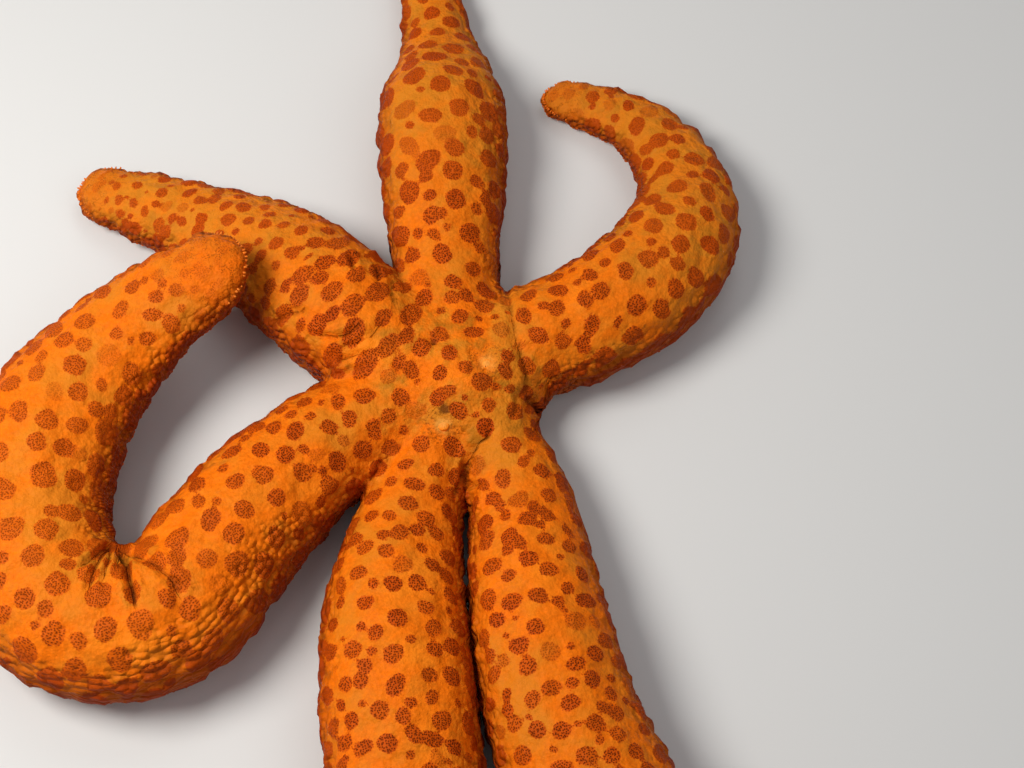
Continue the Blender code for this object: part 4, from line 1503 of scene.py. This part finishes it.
class SEASTAR_OT_sieve_plates(bpy.types.Operator):
    """Add the two madreporites, low ridged buttons on the disc"""

    bl_idname = "seastar.sieve_plates"
    bl_label = "Sieve plates"

    def execute(self, context):
        skin, material = the_skin(), plate_material(context.scene.sea_star)
        radii, heights = np.array(PLATE_PROFILE).T
        for number, (place, (radius, dot)) in enumerate(zip(MADREPORITES, PLATES), 1):
            near = (away_from(skin.points, place) < radius) & (np.abs(skin.across) <= 1)
            level = skin.points[near, 2].mean()
            piece = add_turned(f"madreporite_{number}_plate", place, radii * radius,
                               level + heights, material, ridges=9, depth=0.03, dot=dot)
            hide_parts(f"madreporite_{number}")
        return {"FINISHED"}


class SEASTAR_OT_mouth(bpy.types.Operator):
    """Add the membrane round the mouth, in the middle of the underside"""

    bl_idname = "seastar.mouth"
    bl_label = "Mouth"

    def execute(self, context):
        paint = paints(context.scene.sea_star)
        # The membrane takes the side patch and flank colours, which are painted shade.
        material = flesh_material("sea_star_mouth", paint["patch_side"], paint["flank"], 0.4, 0.3)
        radii, heights = np.array(MOUTH_PROFILE).T
        piece = add_turned("mouth_membrane", (0, 0), radii, heights, material, ridges=18,
                           depth=0.08)
        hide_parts("mouth")
        return {"FINISHED"}


# ---- stage, light and camera -------------------------------------------------------------------
# Places and lengths of the stage are in metres, bearings and elevations in degrees.
AIM = (0.0201, 0.0193, 0.010)
CAMERA_DISTANCE = 0.37
CAMERA_ELEVATION = 65
CAMERA_NEAR = 0.01
LENS, SENSOR_WIDTH = 72.27, 36.0  # in mm
FLOOR_SIZE = 4.0
FLOOR_COLOUR, FLOOR_ROUGHNESS = (0.67, 0.66, 0.64, 1), 0.85
STUDIO_COLOUR, STUDIO_STRENGTH = (0.93, 0.95, 1.0, 1), 0.26
# Name, bearing, elevation, distance, size, power and colour.
LIGHTS = (("key", -85, 52, 0.36, 0.18, 1.2, (1.0, 0.98, 0.95)),
          ("fill", 70, 48, 0.9, 0.6, 0.88, (0.97, 0.98, 1.0)),
          ("back", 165, 50, 0.9, 0.5, 1.0, (1.0, 1.0, 1.0)))


def place_round(thing, bearing, elevation, distance):
    """Put a lamp or the camera at a distance from what the camera aims at, and turn it there."""
    a, e = math.radians(bearing), math.radians(elevation)
    back = Vector((math.sin(a) * math.cos(e), -math.cos(a) * math.cos(e), math.sin(e)))
    thing.location = Vector(AIM) + back * distance
    thing.rotation_mode = "QUATERNION"
    thing.rotation_quaternion = (-back).to_track_quat("-Z", "Y")


class SEASTAR_OT_stage(bpy.types.Operator):
    """Add the pale floor, the soft studio lights and the camera"""

    bl_idname = "seastar.stage"
    bl_label = "Stage, light and camera"

    def execute(self, context):
        scene = context.scene
        mesh = bpy.data.meshes.new("stage_floor")
        half = FLOOR_SIZE / 2
        mesh.from_pydata([(-half, -half, 0), (half, -half, 0), (half, half, 0), (-half, half, 0)],
                         [], [(0, 1, 2, 3)])
        material, _, shader = new_material("stage_floor", FLOOR_ROUGHNESS)
        shader.inputs["Base Color"].default_value = FLOOR_COLOUR
        mesh.materials.append(material)
        add_object("stage_floor", mesh)
        for name, bearing, elevation, distance, size, power, colour in LIGHTS:
            lamp = bpy.data.lights.new(f"light_{name}", "AREA")
            lamp.shape, lamp.size, lamp.energy, lamp.color = "DISK", size, power, colour
            place_round(add_object(f"light_{name}", lamp), bearing, elevation, distance)
        scene.world = bpy.data.worlds.new("studio")
        scene.world.use_nodes = True
        background = scene.world.node_tree.nodes["Background"]
        background.inputs["Color"].default_value = STUDIO_COLOUR
        background.inputs["Strength"].default_value = STUDIO_STRENGTH
        scene.view_settings.view_transform = "Standard"
        lens = bpy.data.cameras.new("camera")
        lens.sensor_width, lens.lens, lens.clip_start = SENSOR_WIDTH, LENS, CAMERA_NEAR
        scene.camera = add_object("camera", lens)
        place_round(scene.camera, 0, CAMERA_ELEVATION, CAMERA_DISTANCE)
        return {"FINISHED"}


class SEASTAR_PT_panel(bpy.types.Panel):
    """The sea star's pieces and settings"""

    bl_idname = "SEASTAR_PT_panel"
    bl_label = "Sea star"
    bl_space_type = "VIEW_3D"
    bl_region_type = "UI"
    bl_category = "Sea star"

    def draw(self, context):
        settings = context.scene.sea_star
        for name in settings.__annotations__:
            self.layout.prop(settings, name)
        for operator in OPERATORS:
            self.layout.operator(operator.bl_idname)


OPERATORS = (SEASTAR_OT_stage, SEASTAR_OT_skin, SEASTAR_OT_granules, SEASTAR_OT_end_beads,
             SEASTAR_OT_grooves, SEASTAR_OT_sieve_plates, SEASTAR_OT_mouth)
CLASSES = (SeaStarSettings, *OPERATORS, SEASTAR_PT_panel)


def register():
    for cls in CLASSES:
        bpy.utils.register_class(cls)
    bpy.types.Scene.sea_star = bpy.props.PointerProperty(type=SeaStarSettings)


def unregister():
    del bpy.types.Scene.sea_star
    for cls in reversed(CLASSES):
        bpy.utils.unregister_class(cls)


def main():
    register()
    bpy.ops.seastar.stage()
    bpy.ops.seastar.skin()
    bpy.ops.seastar.granules()
    bpy.ops.seastar.end_beads()
    bpy.ops.seastar.grooves()
    bpy.ops.seastar.sieve_plates()
    bpy.ops.seastar.mouth()


if __name__ == "__main__":
    main()
